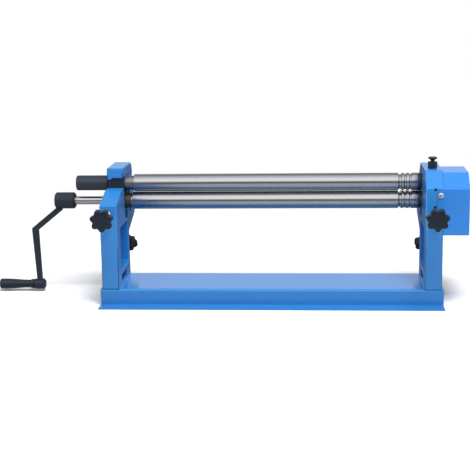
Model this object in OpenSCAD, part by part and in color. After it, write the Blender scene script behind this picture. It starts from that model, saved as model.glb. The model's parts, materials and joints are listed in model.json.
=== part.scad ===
// Bench slip roll: three geared and adjustable steel rolls with wire grooves,
// two cast frames on a folded base, a crank and a quick-release end.
// Millimetres. +X runs to the gear end, +Y away from the operator, +Z up.
// The origin is the centre of the four foot holes, on the floor.

/* [Base] */
// Distance from the middle of a frame to the end of the base
base_end = 22; // [18:1:60]
// Depth of the raised channel, and of the columns that stand on it
base_depth = 150; // [130:1:180]
// Height of the raised channel
base_h = 36; // [30:1:60]
// Width of each foot flange
base_flange = 35; // [28:1:60]
// Thickness of the base sheet
base_sheet = 3; // [2:0.5:4]
// Outside radius of the upper bends
base_bend_r = 5; // [4.5:0.5:8]
// Diameter of the four foot holes
foot_hole_d = 9; // [6:0.5:12]
// Distance of a foot hole from the end of the base
foot_hole_end = 65; // [20:1:120]
// Distance of a foot hole from the flange edge
foot_hole_edge = 15; // [9:1:20]

/* [Frames] */
// Thickness of a frame
frame_t = 36; // [32:1:44]
// Rounding of the upright edges of a frame
frame_edge_r = 1.5; // [1:0.5:5]
// Depth of the left frame's top below the upper roll axis
left_top_drop = 8; // [5:1:12]
// Length, front to back, of the left frame's sloping shoulder
left_slope_run = 72; // [50:1:84]
// Height of the left frame's sloping shoulder
left_slope_rise = 23; // [10:1:40]
// Height of the right frame's top above the upper roll axis
right_top_up = 37; // [30:1:50]
// Length, front to back, of the right frame's sloping shoulder
right_slope_run = 37; // [20:1:50]
// Height of the right frame's sloping shoulder
right_slope_rise = 33; // [10:1:40]
// Reach of the right frame's flat top behind the column
right_top_over = 5; // [1:1:20]
// Overhang of the head behind the column
head_overhang = 85; // [70:1:100]
// Depth of the head's underside at the column below the rear roll axis
head_under_drop = 65; // [55:1:80]
// Depth of the head's underside at its rear edge below the rear roll axis
head_rear_drop = 36; // [25:1:45]
// Height of the head's rear edge above the rear roll axis
head_rear_up = 16; // [5:1:25]
// Thickness of the web behind the cast pockets
pocket_web = 12; // [8:1:18]
// Thickness of the rim in front of the main pocket
pocket_front_rim = 40; // [30:1:50]
// Thickness of the rim behind the main pocket
pocket_rear_rim = 15; // [12:1:25]
// Thickness of the metal between the main pocket and the roll slot
pocket_top_rim = 5; // [4:1:15]
// Height of the main pocket's floor above the base
pocket_floor = 30; // [27:1:40]
// Corner radius of the pockets
pocket_r = 6; // [3:1:12]
// Thickness of the rim in front of the foot pocket
foot_front_rim = 37; // [30:1:50]
// Thickness of the rim behind the foot pocket
foot_rear_rim = 48; // [38:1:60]
// Height of the foot pocket
foot_pocket_h = 16; // [10:1:18]
// Height of the foot pocket's floor above the base
foot_pocket_floor = 6; // [5:1:9]

/* [Rolls] */
// Diameter of the three rolls
roll_d = 38; // [36:0.5:38.5]
// Working length of the rolls
roll_len = 621; // [590:1:622]
// Distance from the left frame to the rolls
roll_end_gap = 16; // [12:1:20]
// Distance from the left frame to the full diameter of the upper roll
upper_end_gap = 20; // [12:1:24]
// Gap between the upper and lower rolls at rest
pinch_gap = 1; // [0.9:0.1:1.4]
// Chamfer on the ends of the rolls
roll_chamfer = 1.5; // [0.5:0.5:3]
// Distance of the front roll axes in front of the columns' rear faces
axis_in = 25; // [22:1:30]
// Height of the lower roll axis above the base
lower_axis_h = 170; // [140:1:200]
// Gap, front to back, between the rear roll and the front rolls, when down
rear_roll_gap = 10; // [9:1:14]
// Distance of the rear roll below the lower roll, when down
rear_roll_drop = 8; // [6:1:12]
// Lean of the rear roll's guide slots from the vertical
rear_lean = 22; // [20:1:24]
// Travel of the rear roll along its slots
rear_travel = 26; // [10:1:26]
// Diameter of the plain journals and of the crank shaft
journal_d = 18; // [16:0.5:18.5]
// Diameter of the upper roll's left journal
left_journal_d = 25; // [20:0.5:27]
// Step from the upper roll's left journal up to its shoulder
shoulder_step = 3; // [1:0.5:4]
// Diameters of the wires that the grooves take
wire_d_a = 8; // [5:0.5:8]
// Diameter of the second wire groove
wire_d_b = 6; // [4:0.5:8]
// Diameter of the third wire groove
wire_d_c = 6; // [4:0.5:8]
// Distance between the wire grooves
groove_pitch = 11; // [10:0.5:16]
// Distance of the last wire groove from the right end of the rolls
groove_end = 17; // [10:0.5:30]

/* [Bearings] */
// Width of the sliding blocks of the lower roll
block_w = 38; // [36:0.5:38.5]
// Height of a lower block above the roll axis
block_up = 17.5; // [16:0.5:18]
// Height of a lower block below the roll axis
block_down = 20; // [18:0.5:22]
// Outside diameter of the lower roll's bronze bushes
bush_d = 24; // [22:0.5:25]
// Diameter of the left lower bush's flange
bush_flange_d = 34; // [28:0.5:38]
// Length of the lower roll's bare neck beside that flange
lower_neck_len = 4; // [1:0.5:6]
// Wall of the upper left block in front of and behind its journal
saddle_side = 10.5; // [6:0.5:12]
// Wall of the upper left block above its journal
saddle_over = 1.2; // [1:0.1:4]
// Wall of the upper left block below its journal
saddle_under = 3.5; // [2:0.5:5]
// Step in the top of the upper left block
saddle_step = 3; // [1:0.5:4]
// Length of the step in the top of the upper left block
saddle_step_len = 11; // [5:0.5:14]
// Wall of the spherical bearing's outer ring
race_wall = 4; // [3:0.5:5]
// Width of the spherical bearing's outer ring
race_w = 14; // [10:0.5:16]
// Depth of that ring below the right frame's outer face
race_out = 6; // [2:0.5:8]
// Wall of the spherical bearing's ball around its journal
ball_wall = 6; // [5:0.5:7]
// Width of the spherical bearing's ball
ball_w = 16; // [14:0.5:18]
// Diameter of the rear roll's round bushes
rear_bush_d = 26; // [24:0.5:30]
// Thickness of the collars beside the right frame
collar_t = 5.5; // [3:0.5:8]
// Gap between a collar and the right frame
collar_gap = 1.3; // [0.5:0.1:3]
// Step from a roll down to its collar
collar_step = 0.5; // [0.5:0.5:4]

/* [Gears] */
// Number of teeth on each gear
gear_teeth = 16; // [14:1:18]
// Height of a tooth above the pitch circle
tooth_up = 2; // [1.4:0.1:2.1]
// Depth of a tooth below the pitch circle
tooth_down = 3.2; // [3:0.1:4]
// Thinning of a tooth for easy running as the rolls close and tilt
tooth_thin = 0.42; // [0.4:0.02:0.6]
// Width of the gears
gear_w = 12; // [8:0.5:14]
// Diameter of the gear hubs
gear_hub_d = 26; // [22:0.5:28]
// Length of a gear hub beside the teeth
gear_hub_len = 2.5; // [1.5:0.5:4]
// Side of the square gear keys
key_side = 5; // [3:0.5:6]

/* [Quick release] */
// Distance of the cap's nose in front of the roll axis
cap_front = 28; // [25:1:34]
// Distance of the hinge pin behind the saddle's rear wall
cap_pin_back = 25.7; // [20:0.1:32]
// Radius of the cap's rounded rear end
cap_rear_r = 22; // [18:0.5:25]
// Rounding of the cap's front and side edges
cap_edge_r = 3; // [1:0.5:7]
// Diameter of the hinge pin
cap_pin_d = 10; // [6:0.5:12]
// Width of the frame's tongue in the cap
tongue_w = 18; // [12:0.5:22]
// Radius of the tongue's eye
tongue_r = 12; // [9:0.5:14]
// Length of the wall behind the saddle
saddle_wall = 19; // [14:0.5:20]
// Diameter of the black grip on the upper roll
grip_d = 33; // [30:0.5:36]
// Length of the black grip on the upper roll
grip_len = 70.5; // [50:0.5:90]

/* [Crank] */
// Height of the crank's handle above the bench, when it hangs down
crank_low = 16; // [13:1:60]
// Diameter of the crank's hub
crank_hub_d = 36; // [30:0.5:40]
// Length of the crank's hub
crank_hub_len = 44.5; // [36:0.5:50]
// Bare shaft between the left frame and the crank
crank_shaft_out = 77; // [72:1:100]
// Outward step of the crank's elbow from the hub's outer end
crank_elbow_out = 49; // [30:1:60]
// Drop of the crank's elbow below the shaft
crank_elbow_drop = 64.5; // [50:0.5:80]
// Thickness of the crank's arm, seen from the front
crank_arm_t = 12.5; // [9:0.5:14]
// Thickness of the crank's arm at the handle's boss
crank_arm_tip_t = 9.5; // [7:0.5:12]
// Width of the crank's arm, seen from the side
crank_arm_w = 14; // [10:0.5:20]
// Diameter of the boss that carries the grip
crank_boss_d = 23; // [20:0.5:24]
// Length of the boss that carries the grip
crank_boss_len = 23; // [18:0.5:30]
// Length of the turning grip
handle_len = 79.5; // [60:0.5:100]
// Largest diameter of the turning grip
handle_d = 23; // [18:0.5:24]
// Diameter of the turning grip's waist
handle_waist_d = 18; // [15:0.5:20]
// Diameter of the grip's spindle
spindle_d = 8; // [6:0.5:9]

/* [Adjusting screws] */
// Diameter of the adjusting screws
screw_d = 12; // [10:0.5:12.5]
// Diameter across the lobes of a star knob
knob_d = 50; // [44:0.5:56]
// Thickness of a star knob's head
knob_t = 18; // [14:0.5:22]
// Diameter of a star knob's neck
knob_neck_d = 22; // [18:0.5:26]
// Length of a star knob's neck
knob_neck_len = 10; // [5:0.5:14]
// Number of lobes on a star knob
knob_lobes = 7; // [5:1:9]
// Distance of a front knob's middle from the column
front_knob_out = 70; // [60:1:90]
// Distance of the front screws below the lower roll axis
front_screw_drop = 8; // [7:0.5:9]
// Travel of the front wedge pins
wedge_travel = 6; // [3:0.5:6.5]
// Lift of the lower roll over that travel
lower_lift = 0.8; // [0.4:0.1:0.8]
// Gap between a rear knob's neck and its boss, at the top of the travel
rear_knob_gap = 7; // [3:1:20]
// Diameter of the bosses under the heads
rear_boss_d = 28; // [20:0.5:30]
// Length of the bosses under the heads
rear_boss_len = 11; // [4:0.5:16]

/* [Gear cover] */
// Width of the gear cover
cover_w = 53; // [45:0.5:70]
// Thickness of the cover's sheet
cover_sheet = 1.5; // [1:0.1:2.5]
// Depth of the cover's bottom below the lower roll axis
cover_bottom_drop = 54; // [40:1:70]
// Depth of the cover's front bend below the right frame's front edge
cover_bend_drop = 1; // [0.5:0.5:8]
// Depth of the cover's top below the right frame's top
cover_top_drop = 4; // [1:0.5:8]
// Length, front to back, of the cover's sloping front
cover_slope_run = 36; // [20:1:50]
// Length, front to back, of the cover's sloping rear
cover_rear_run = 54.5; // [30:0.5:70]
// Distance of the cover's rear wall behind the roll axis
cover_back = 50; // [42:1:60]
// Depth of the cover's rear bend below the upper roll axis
cover_rear_drop = 7; // [1:1:15]
// Width of the ear that laps the frame
ear_w = 12; // [10:0.5:16]
// Height of the ears
ear_h = 44; // [24:1:50]
// Diameter of the cover screws
cover_screw_d = 6; // [4:0.5:6]

/* [Plunger] */
// Distance of the plunger behind the right column's front face
plunger_in = 67; // [60:1:80]
// Diameter of the plunger's knob
plunger_knob_d = 20; // [14:0.5:24]
// Across flats of the plunger's hexagons
plunger_flats = 17; // [13:0.5:19]
// Height of the plunger's locknut
plunger_nut_h = 7; // [4:0.5:8]
// Height of the plunger's hexagon head
plunger_head_h = 7.5; // [5:0.5:10]
// Diameter of the plunger's threaded shank
plunger_shank_d = 10; // [9:0.5:11]
// Diameter of the plunger's pin
plunger_pin_d = 5; // [4:0.5:5]
// Travel of the plunger
plunger_pull = 6; // [3:0.5:7]
// Number of turns in the plunger's spring
spring_turns = 6; // [4:1:7]
// Diameter of the spring's wire
spring_wire_d = 0.8; // [0.5:0.1:0.9]

/* [Fits] */
// Radial clearance of turning and sliding round parts
run_clear = 0.05; // [0.02:0.01:0.1]
// Clearance of the sliding blocks on each side
slide_clear = 0.2; // [0.1:0.05:0.3]
// Clearance between parts that rest on each other
seat_clear = 0.3; // [0.2:0.05:0.4]
// Diameter of the oil hole and the rod hole in the right frame
small_hole_d = 6; // [4:0.5:6]

/* [Hidden] */
$fn = 64;

// How far a cut runs past the face that it opens
over = 1;

// Colours as the finished machine shows them
blue = [0.17, 0.45, 0.80];
cover_blue = [0.20, 0.50, 0.87];
steel = [0.78, 0.78, 0.80];
dark = [0.13, 0.15, 0.18];
bronze = [0.42, 0.32, 0.24];
zinc = [0.72, 0.74, 0.76];

// Axes of the rolls
roll_r = roll_d / 2;
journal_r = journal_d / 2;
left_journal_r = left_journal_d / 2;
roll_pitch = roll_d + pinch_gap;
axis_y = base_depth / 2 - axis_in;
lower_z = base_h + lower_axis_h;
upper_z = lower_z + roll_pitch;
rear_y = axis_y + roll_d + rear_roll_gap;
rear_z = lower_z - rear_roll_drop;

// Planes of the frames, which stand just clear of the rolls and their collars
front_y = -base_depth / 2;
column_rear_y = base_depth / 2;
head_rear_y = column_rear_y + head_overhang;
inner_x = (roll_end_gap + roll_len + slide_clear + collar_t + collar_gap) / 2;
outer_x = inner_x + frame_t;
frame_mid_x = inner_x + frame_t / 2;
base_len = 2 * (frame_mid_x + base_end);
left_top_z = upper_z - left_top_drop;
right_top_z = upper_z + right_top_up;
right_front_z = right_top_z - right_slope_rise;
head_under_z = rear_z - head_under_drop;
head_rear_z = rear_z - head_rear_drop;

// Ends of the rolls
roll_x0 = -inner_x + roll_end_gap;
roll_x1 = roll_x0 + roll_len;
upper_x0 = -inner_x + upper_end_gap;
shaft_end_over = 4;
lower_neck_step = 1;
circlip_t = 1.2;
circlip_w = 3;
circlip_groove = 0.8;
circlip_r = journal_r + circlip_w;

// Sliding blocks and their slots
slot_half = block_w / 2;
block_half = slot_half - slide_clear;
block_margin = 1;
block_x0 = inner_x + block_margin;
block_x1 = outer_x - block_margin;
slot_low_z = lower_z - block_down - 2 * block_margin;
window_top_z = lower_z + block_up + lower_lift + 0.6 * block_margin;
bush_gap = 0.5;
bush_flange_t = roll_end_gap - bush_gap - lower_neck_len;
saddle_half = left_journal_r + saddle_side;
saddle_floor_z = upper_z - left_journal_r - saddle_under - seat_clear;
saddle_top_z = upper_z + left_journal_r + saddle_over;
saddle_wall_y = axis_y + saddle_half + seat_clear + saddle_wall;
saddle_wall_z = saddle_top_z - 2 * block_margin;

// The spherical bearing in the right frame
ball_r = journal_r + ball_wall;
race_r = ball_r + race_wall;
race_x0 = outer_x - race_out - race_w;
ball_x = race_x0 + race_w / 2;

// Rear guide slots, along a leaning line through the rear roll axis
rear_slot_r = rear_bush_d / 2 + run_clear;
rear_slot_low = rear_bush_d / 2 + block_margin;
rear_slot_high = rear_travel + block_margin;
rear_screw_start = rear_bush_d / 2 + 0.5 * block_margin;
boss_root = 3;
boss_start = rear_slot_low + rear_slot_r + boss_root;

// Where that line leaves the head, and the boss and the knob below it
under_slope = (head_rear_z - head_under_z) / head_overhang;
under_reach = (head_under_drop - (rear_y - column_rear_y) * under_slope)
    / (cos(rear_lean) + sin(rear_lean) * under_slope);
boss_reach = under_reach + rear_boss_len;
rear_neck_out = boss_reach + rear_travel + rear_knob_gap;

// The front screws and the wedge pins
front_screw_z = lower_z - front_screw_drop;
pin_r = screw_d / 2;
wedge_slope = lower_lift / wedge_travel;
slot_front_y = axis_y - slot_half;
wedge_tip_in = 1.5;
wedge_tip_y = slot_front_y + wedge_tip_in;
wedge_len = 52.5;
wedge_rear_y = wedge_tip_y - wedge_len;
wedge_tip_up = 1;
wedge_flat_over = 2;
nose_r = 3.5;
nose_len = 8;
nose_seat = 1;
front_neck_y = front_y - front_knob_out + knob_t / 2 + knob_neck_len;
knob_ease = 2;
knob_crown = 3;

// The gears
gear_r = roll_r;
gear_gap = 1;
gear_x0 = outer_x + gear_gap + gear_hub_len;
gear_x1 = gear_x0 + gear_w;
shaft_end_x = gear_x1 + shaft_end_over;
pressure = 20;

// The quick-release cap
cap_pin_y = saddle_wall_y + cap_pin_back;
cap_pin_z = saddle_top_z + seat_clear;
cap_nose_y = axis_y - cap_front;
cap_top_z = cap_pin_z + cap_rear_r;
cap_pin_in = 2;
cap_relief = 0.6;
cap_under = 3 * cap_rear_r;
tongue_clear = 0.5;
tongue_x0 = -frame_mid_x - tongue_w / 2;

// The black grip on the end of the upper roll
sleeve_gap = 1.5;
sleeve_end = 2.5;
sleeve_chamfer = 3;
sleeve_ease = 0.5;
sleeve_x1 = -outer_x - sleeve_gap;
sleeve_x0 = sleeve_x1 - grip_len;
core_step = 2.5;
core_r = left_journal_r - core_step;

// The crank
crank_hub_x1 = -outer_x - crank_shaft_out;
crank_hub_x0 = crank_hub_x1 - crank_hub_len;
crank_wall = 4;
crank_chamfer = 3;
arm_root_in = 1;
arm_root_x = crank_hub_x0 + crank_arm_t / 2 + arm_root_in;
elbow_x = crank_hub_x0 - crank_elbow_out;
elbow_z = lower_z - crank_elbow_drop;
handle_z = crank_low;
boss_lip = 10.5;
boss_x1 = elbow_x + crank_arm_t / 2 + boss_lip;
boss_x0 = boss_x1 - crank_boss_len;
handle_gap = 1;
handle_x1 = boss_x0 - handle_gap;
handle_x0 = handle_x1 - handle_len;
handle_round = 4;
handle_flare = 9;
handle_rim = 1.5;
spindle_head_r = spindle_d / 2 + 2.5;
spindle_head_t = 5;
spindle_sink = 2;
set_screw_sink = 1;
set_screw_hex = 3;

// The gear cover
cover_front_y = front_y - cover_sheet;
cover_x1 = outer_x + cover_w;
cover_bottom_z = lower_z - cover_bottom_drop;
cover_bend_z = right_front_z - cover_bend_drop;
cover_top_z = right_top_z - cover_top_drop;
cover_rear_z = upper_z - cover_rear_drop;
cover_slope_y = cover_front_y + cover_slope_run;
cover_rear_y = axis_y + cover_back;
cover_top_y = cover_rear_y - cover_rear_run;
ear_screw_drop = 12.5;
ear_screw_x = outer_x - ear_w / 2;
ear_screw_z = cover_bend_z - ear_screw_drop;
rear_ear_drop = 14;
rear_ear_y = cover_rear_y + ear_w / 2;
rear_ear_z = cover_rear_z - rear_ear_drop;
ear_screw_depth = 12;

// The plunger and the rod that it holds
plunger_y = front_y + plunger_in;
rod_up = 2;
rod_front_in = 8;
rod_r = small_hole_d / 2;
rod_x = race_x0 + rod_r + slide_clear;
rod_z = upper_z + rod_up;
rod_front_y = front_y + rod_front_in;
rod_tip_in = 2;
rod_notch = 1.5;
rod_notch_side = 1;
rod_notch_len = plunger_pin_d + 2 * rod_notch_side;
shank_len = 20;
shank_wall = 0.9;
cavity_r = plunger_shank_d / 2 - shank_wall;
cavity_over = 2;
cavity_top_z = right_top_z + cavity_over;
shoulder_drop = 18;
shoulder_z = right_top_z - shoulder_drop;
shoulder_t = 3;
shoulder_r = cavity_r - slide_clear;
neck_top_z = right_top_z + plunger_nut_h + plunger_head_h;
plunger_rise = 4;
plunger_knob_t = 6;
plunger_knob_rim = 1;

// Fasteners between frames and base
frame_bolt_d = 10;
frame_bolt_clear = 0.5;
frame_bolt_in = 20;
frame_bolt_ys = [front_y + frame_bolt_in, axis_y];
frame_bolt_depth = 25;
frame_bolt_tip = 1;
frame_bolt_head = 6.4;
frame_bolt_flats = 17;
washer_t = 2;
washer_r = 10.5;
oil_hole_up = 4.4;
oil_hole_z = lower_z + oil_hole_up;

// Corner-to-corner radius of a hexagon
function hex_r(flats) = flats / 2 / cos(30);
// Point on the involute of a base circle, unwound by an angle
function involute(r, a) = [
    r * (cos(a) + a * PI / 180 * sin(a)),
    r * (sin(a) - a * PI / 180 * cos(a))
];
// Unwinding angle at which an involute reaches a radius
function unwind(base_r, r) = sqrt(max(0, pow(r / base_r, 2) - 1)) * 180 / PI;
// A point turned about the origin
function turned(p, a) = [p[0] * cos(a) - p[1] * sin(a), p[0] * sin(a) + p[1] * cos(a)];

// Bar along X between two places
module rod_x(x0, x1, r) {
    translate([x0, 0, 0]) rotate([0, 90, 0]) cylinder(r = r, h = x1 - x0);
}

// Bar along Y between two places
module rod_y(y0, y1, r) {
    translate([0, y0, 0]) rotate([-90, 0, 0]) cylinder(r = r, h = y1 - y0);
}

// A side-view outline (Y, Z) made a plate from x0 to x1
module side_plate(x0, x1) {
    translate([x0, 0, 0]) rotate([90, 0, 90]) linear_extrude(x1 - x0) children();
}

// A front-view outline (X, Z) made a plate from y0 to y1
module front_plate(y0, y1) {
    translate([0, y1, 0]) rotate([90, 0, 0]) linear_extrude(y1 - y0) children();
}

// Rectangle between two corners, with round corners
module round_box(x0, y0, x1, y1, r) {
    translate([x0 + r, y0]) square([x1 - x0 - 2 * r, y1 - y0]);
    translate([x0, y0 + r]) square([x1 - x0, y1 - y0 - 2 * r]);
    for (x = [x0 + r, x1 - r], y = [y0 + r, y1 - r]) translate([x, y]) circle(r);
}

// Straight or tapered bar between two points, with round ends of two radii
module round_bar(a, b, ra, rb) {
    reach = norm(b - a);
    lean = asin((ra - rb) / reach);
    translate(a) rotate(atan2(b[1] - a[1], b[0] - a[0])) {
        polygon([
            [ra * sin(lean), -ra * cos(lean)], [reach + rb * sin(lean), -rb * cos(lean)],
            [reach + rb * sin(lean), rb * cos(lean)], [ra * sin(lean), ra * cos(lean)]
        ]);
        circle(ra);
        translate([reach, 0]) circle(rb);
    }
}

// Moves the leaning line of a rear slot onto the Z axis, measured downwards
module on_rear_line(x) {
    translate([x, rear_y, rear_z]) rotate([rear_lean, 0, 0]) mirror([0, 0, 1]) children();
}

// Side-view outline of the folded base, before its hollow
module hat_outline(half, top, r) {
    translate([-half, 0]) square([2 * half, top - r]);
    translate([-half + r, 0]) square([2 * (half - r), top]);
    for (y = [-half + r, half - r]) translate([y, top - r]) circle(r);
}

module base_channel() {
    bend_in = base_bend_r - base_sheet;
    color(blue) difference() {
        side_plate(-base_len / 2, base_len / 2) difference() {
            union() {
                hat_outline(base_depth / 2, base_h, base_bend_r);
                translate([-base_depth / 2 - base_flange, 0])
                    square([base_depth + 2 * base_flange, base_sheet]);
            }
            translate([0, -over])
                hat_outline(base_depth / 2 - base_sheet, base_h - base_sheet + over, bend_in);
        }
        for (x = [-1, 1], y = [-1, 1])
            translate([x * (base_len / 2 - foot_hole_end),
                       y * (base_depth / 2 + base_flange - foot_hole_edge), -over])
                cylinder(d = foot_hole_d, h = base_sheet + 2 * over);
        for (x = [-frame_mid_x, frame_mid_x], y = frame_bolt_ys)
            translate([x, y, base_h - base_sheet - over])
                cylinder(d = frame_bolt_d + 2 * frame_bolt_clear, h = base_sheet + 2 * over);
    }
}

// The casting that both frames share, on the right; top_line runs from front to back
module cast_frame(top_line) {
    difference() {
        union() {
            intersection() {
                side_plate(inner_x, outer_x) polygon(concat(
                    [[column_rear_y, base_h], [front_y, base_h]],
                    top_line,
                    [[head_rear_y, rear_z + head_rear_up], [head_rear_y, head_rear_z],
                     [column_rear_y, head_under_z]]));
                translate([0, 0, base_h - over]) linear_extrude(right_top_z - base_h + 2 * over)
                    round_box(inner_x, front_y, outer_x, head_rear_y, frame_edge_r);
            }
            on_rear_line(frame_mid_x)
                translate([0, 0, boss_start]) cylinder(d = rear_boss_d, h = boss_reach - boss_start);
        }
        // cast pockets in the inner face
        side_plate(inner_x - over, outer_x - pocket_web) {
            round_box(front_y + pocket_front_rim, base_h + pocket_floor,
                      column_rear_y - pocket_rear_rim, slot_low_z - slot_half - pocket_top_rim,
                      pocket_r);
            round_box(front_y + foot_front_rim, base_h + foot_pocket_floor,
                      column_rear_y - foot_rear_rim, base_h + foot_pocket_floor + foot_pocket_h,
                      pocket_r / 2);
        }
        // leaning slot of the rear roll, and its screw hole
        on_rear_line(frame_mid_x) {
            for (t = [-rear_slot_high, rear_slot_low])
                translate([-frame_t, 0, t]) rotate([0, 90, 0])
                    cylinder(r = rear_slot_r, h = 2 * frame_t);
            translate([-frame_t, -rear_slot_r, -rear_slot_high])
                cube([2 * frame_t, 2 * rear_slot_r, rear_slot_high + rear_slot_low]);
            cylinder(d = screw_d + 2 * run_clear, h = boss_reach + over);
        }
        // front screw hole
        translate([frame_mid_x, 0, front_screw_z])
            rod_y(front_y - over, slot_front_y + over, pin_r + run_clear);
        // holes for the foot bolts
        for (y = frame_bolt_ys)
            translate([frame_mid_x, y, base_h - over])
                cylinder(d = frame_bolt_d, h = frame_bolt_depth + over);
    }
}

// Outline of the upright slot that guides a lower block, up to a height
module slot_outline(top_z) {
    translate([axis_y, slot_low_z]) circle(slot_half);
    translate([slot_front_y, slot_low_z]) square([block_w, top_z - slot_low_z]);
}

module left_frame() {
    top_line = [
        [front_y, left_top_z - left_slope_rise],
        [front_y + left_slope_run, left_top_z],
        [saddle_wall_y, left_top_z],
        [cap_pin_y + cap_rear_r, left_top_z]
    ];
    color(blue) mirror([1, 0, 0]) difference() {
        union() {
            cast_frame(top_line);
            // wall behind the saddle
            side_plate(inner_x, outer_x)
                translate([axis_y + saddle_half, left_top_z - over])
                    square([saddle_wall + seat_clear, saddle_wall_z - left_top_z + over]);
            // tongue for the hinge pin
            side_plate(frame_mid_x - tongue_w / 2, frame_mid_x + tongue_w / 2) {
                translate([cap_pin_y, cap_pin_z]) circle(tongue_r);
                translate([cap_pin_y - tongue_r, left_top_z - over])
                    square([2 * tongue_r, cap_pin_z - left_top_z + over]);
            }
        }
        side_plate(inner_x - over, outer_x + over) {
            slot_outline(saddle_floor_z + over);
            translate([axis_y - saddle_half - seat_clear, saddle_floor_z])
                square([2 * (saddle_half + seat_clear), cap_top_z - saddle_floor_z]);
        }
        translate([0, cap_pin_y, cap_pin_z]) rod_x(inner_x, outer_x, cap_pin_d / 2);
    }
}

module right_frame() {
    top_line = [
        [front_y, right_front_z],
        [front_y + right_slope_run, right_top_z],
        [column_rear_y + right_top_over, right_top_z]
    ];
    color(blue) difference() {
        cast_frame(top_line);
        side_plate(inner_x - over, outer_x + over) slot_outline(window_top_z);
        // way for the upper journal, and the seat of the spherical bearing
        translate([0, axis_y, upper_z]) {
            rod_x(inner_x - over, outer_x + over, ball_r);
            rod_x(race_x0, outer_x + over, race_r);
        }
        // hole of the locating rod, and the oil hole below it
        translate([rod_x, 0, rod_z]) rod_y(front_y - over, axis_y, rod_r);
        translate([rod_x, 0, oil_hole_z]) rod_y(front_y - over, slot_front_y + over, rod_r);
        // threaded hole of the plunger, and the way of its pin
        translate([frame_mid_x, plunger_y, 0]) {
            translate([0, 0, right_top_z - shank_len])
                cylinder(d = plunger_shank_d, h = shank_len + over);
            translate([0, 0, rod_z])
                cylinder(r = plunger_pin_d / 2 + run_clear, h = right_top_z - rod_z);
        }
        // threaded holes of the cover screws
        translate([ear_screw_x, 0, ear_screw_z])
            rod_y(front_y - over, front_y + ear_screw_depth, cover_screw_d / 2);
        translate([0, rear_ear_y, rear_ear_z])
            rod_x(outer_x - ear_screw_depth, outer_x + over, cover_screw_d / 2);
    }
}

module frame_bolts() {
    washer_z = base_h - base_sheet - washer_t;
    color(zinc) for (x = [-frame_mid_x, frame_mid_x], y = frame_bolt_ys)
        translate([x, y, 0]) {
            translate([0, 0, washer_z - frame_bolt_head])
                cylinder(r = hex_r(frame_bolt_flats), h = frame_bolt_head, $fn = 6);
            translate([0, 0, washer_z - frame_bolt_head / 2])
                cylinder(d = frame_bolt_d,
                         h = base_h + frame_bolt_depth - frame_bolt_tip
                             - washer_z + frame_bolt_head / 2);
        }
}

module frame_washers() {
    color(zinc) for (x = [-frame_mid_x, frame_mid_x], y = frame_bolt_ys)
        translate([x, y, base_h - base_sheet - washer_t]) difference() {
            cylinder(r = washer_r, h = washer_t);
            translate([0, 0, -over]) cylinder(d = frame_bolt_d, h = washer_t + 2 * over);
        }
}

// Side-view outline of the gear cover, drawn in by the thickness of its sheet
module cover_outline(inset) {
    intersection() {
        translate([cover_front_y + inset, cover_bottom_z + inset])
            square([cover_rear_y - cover_front_y - 2 * inset,
                    cover_top_z - cover_bottom_z - 2 * inset]);
        // the sloping front and rear are drawn in square to their faces
        polygon([
            [cover_front_y, cover_bottom_z],
            [cover_front_y, cover_bend_z - inset * slant(cover_slope_run,
                                                         cover_top_z - cover_bend_z)],
            [cover_slope_y, cover_top_z - inset * slant(cover_slope_run,
                                                        cover_top_z - cover_bend_z)],
            [cover_top_y, cover_top_z - inset * slant(cover_rear_run,
                                                      cover_top_z - cover_rear_z)],
            [cover_rear_y, cover_rear_z - inset * slant(cover_rear_run,
                                                        cover_top_z - cover_rear_z)],
            [cover_rear_y, cover_bottom_z]
        ]);
    }
}
// How far down a slope moves for each millimetre that it moves square to itself
function slant(run, rise) = sqrt(1 + pow(rise / run, 2));

module gear_cover() {
    color(cover_blue) difference() {
        union() {
            difference() {
                side_plate(outer_x, cover_x1) cover_outline(0);
                side_plate(outer_x - over, cover_x1 - cover_sheet) cover_outline(cover_sheet);
            }
            // front ear over the column, and rear tab on the frame's outer face
            front_plate(cover_front_y, front_y)
                translate([outer_x - ear_w, cover_bend_z - ear_h])
                    square([ear_w + over, ear_h]);
            side_plate(outer_x, outer_x + cover_sheet)
                translate([cover_rear_y - over, rear_ear_z - ear_h / 2])
                    square([ear_w + over, ear_h]);
        }
        translate([ear_screw_x, 0, ear_screw_z])
            rod_y(cover_front_y - over, front_y + over, cover_screw_d / 2 + run_clear);
        translate([0, rear_ear_y, rear_ear_z])
            rod_x(outer_x - over, outer_x + cover_sheet + over, cover_screw_d / 2 + run_clear);
    }
}

// Pan-headed screw along Z, its head's seat at the origin and its shank below
module pan_screw(d, len, head_d, head_h) {
    difference() {
        union() {
            intersection() {
                cylinder(d = head_d, h = head_h);
                translate([0, 0, head_h - head_d]) sphere(head_d);
            }
            translate([0, 0, -len]) cylinder(d = d, h = len + head_h / 2);
        }
        translate([0, 0, head_h / 2])
            cylinder(r = hex_r(d / 2), h = head_h, $fn = 6);
    }
}

module cover_screws() {
    head_d = cover_screw_d * 1.9;
    head_h = cover_screw_d * 0.6;
    color(zinc) {
        translate([ear_screw_x, cover_front_y, ear_screw_z]) rotate([90, 0, 0])
            pan_screw(cover_screw_d, ear_screw_depth, head_d, head_h);
        translate([outer_x + cover_sheet, rear_ear_y, rear_ear_z]) rotate([0, 90, 0])
            pan_screw(cover_screw_d, ear_screw_depth, head_d, head_h);
    }
}

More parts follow.
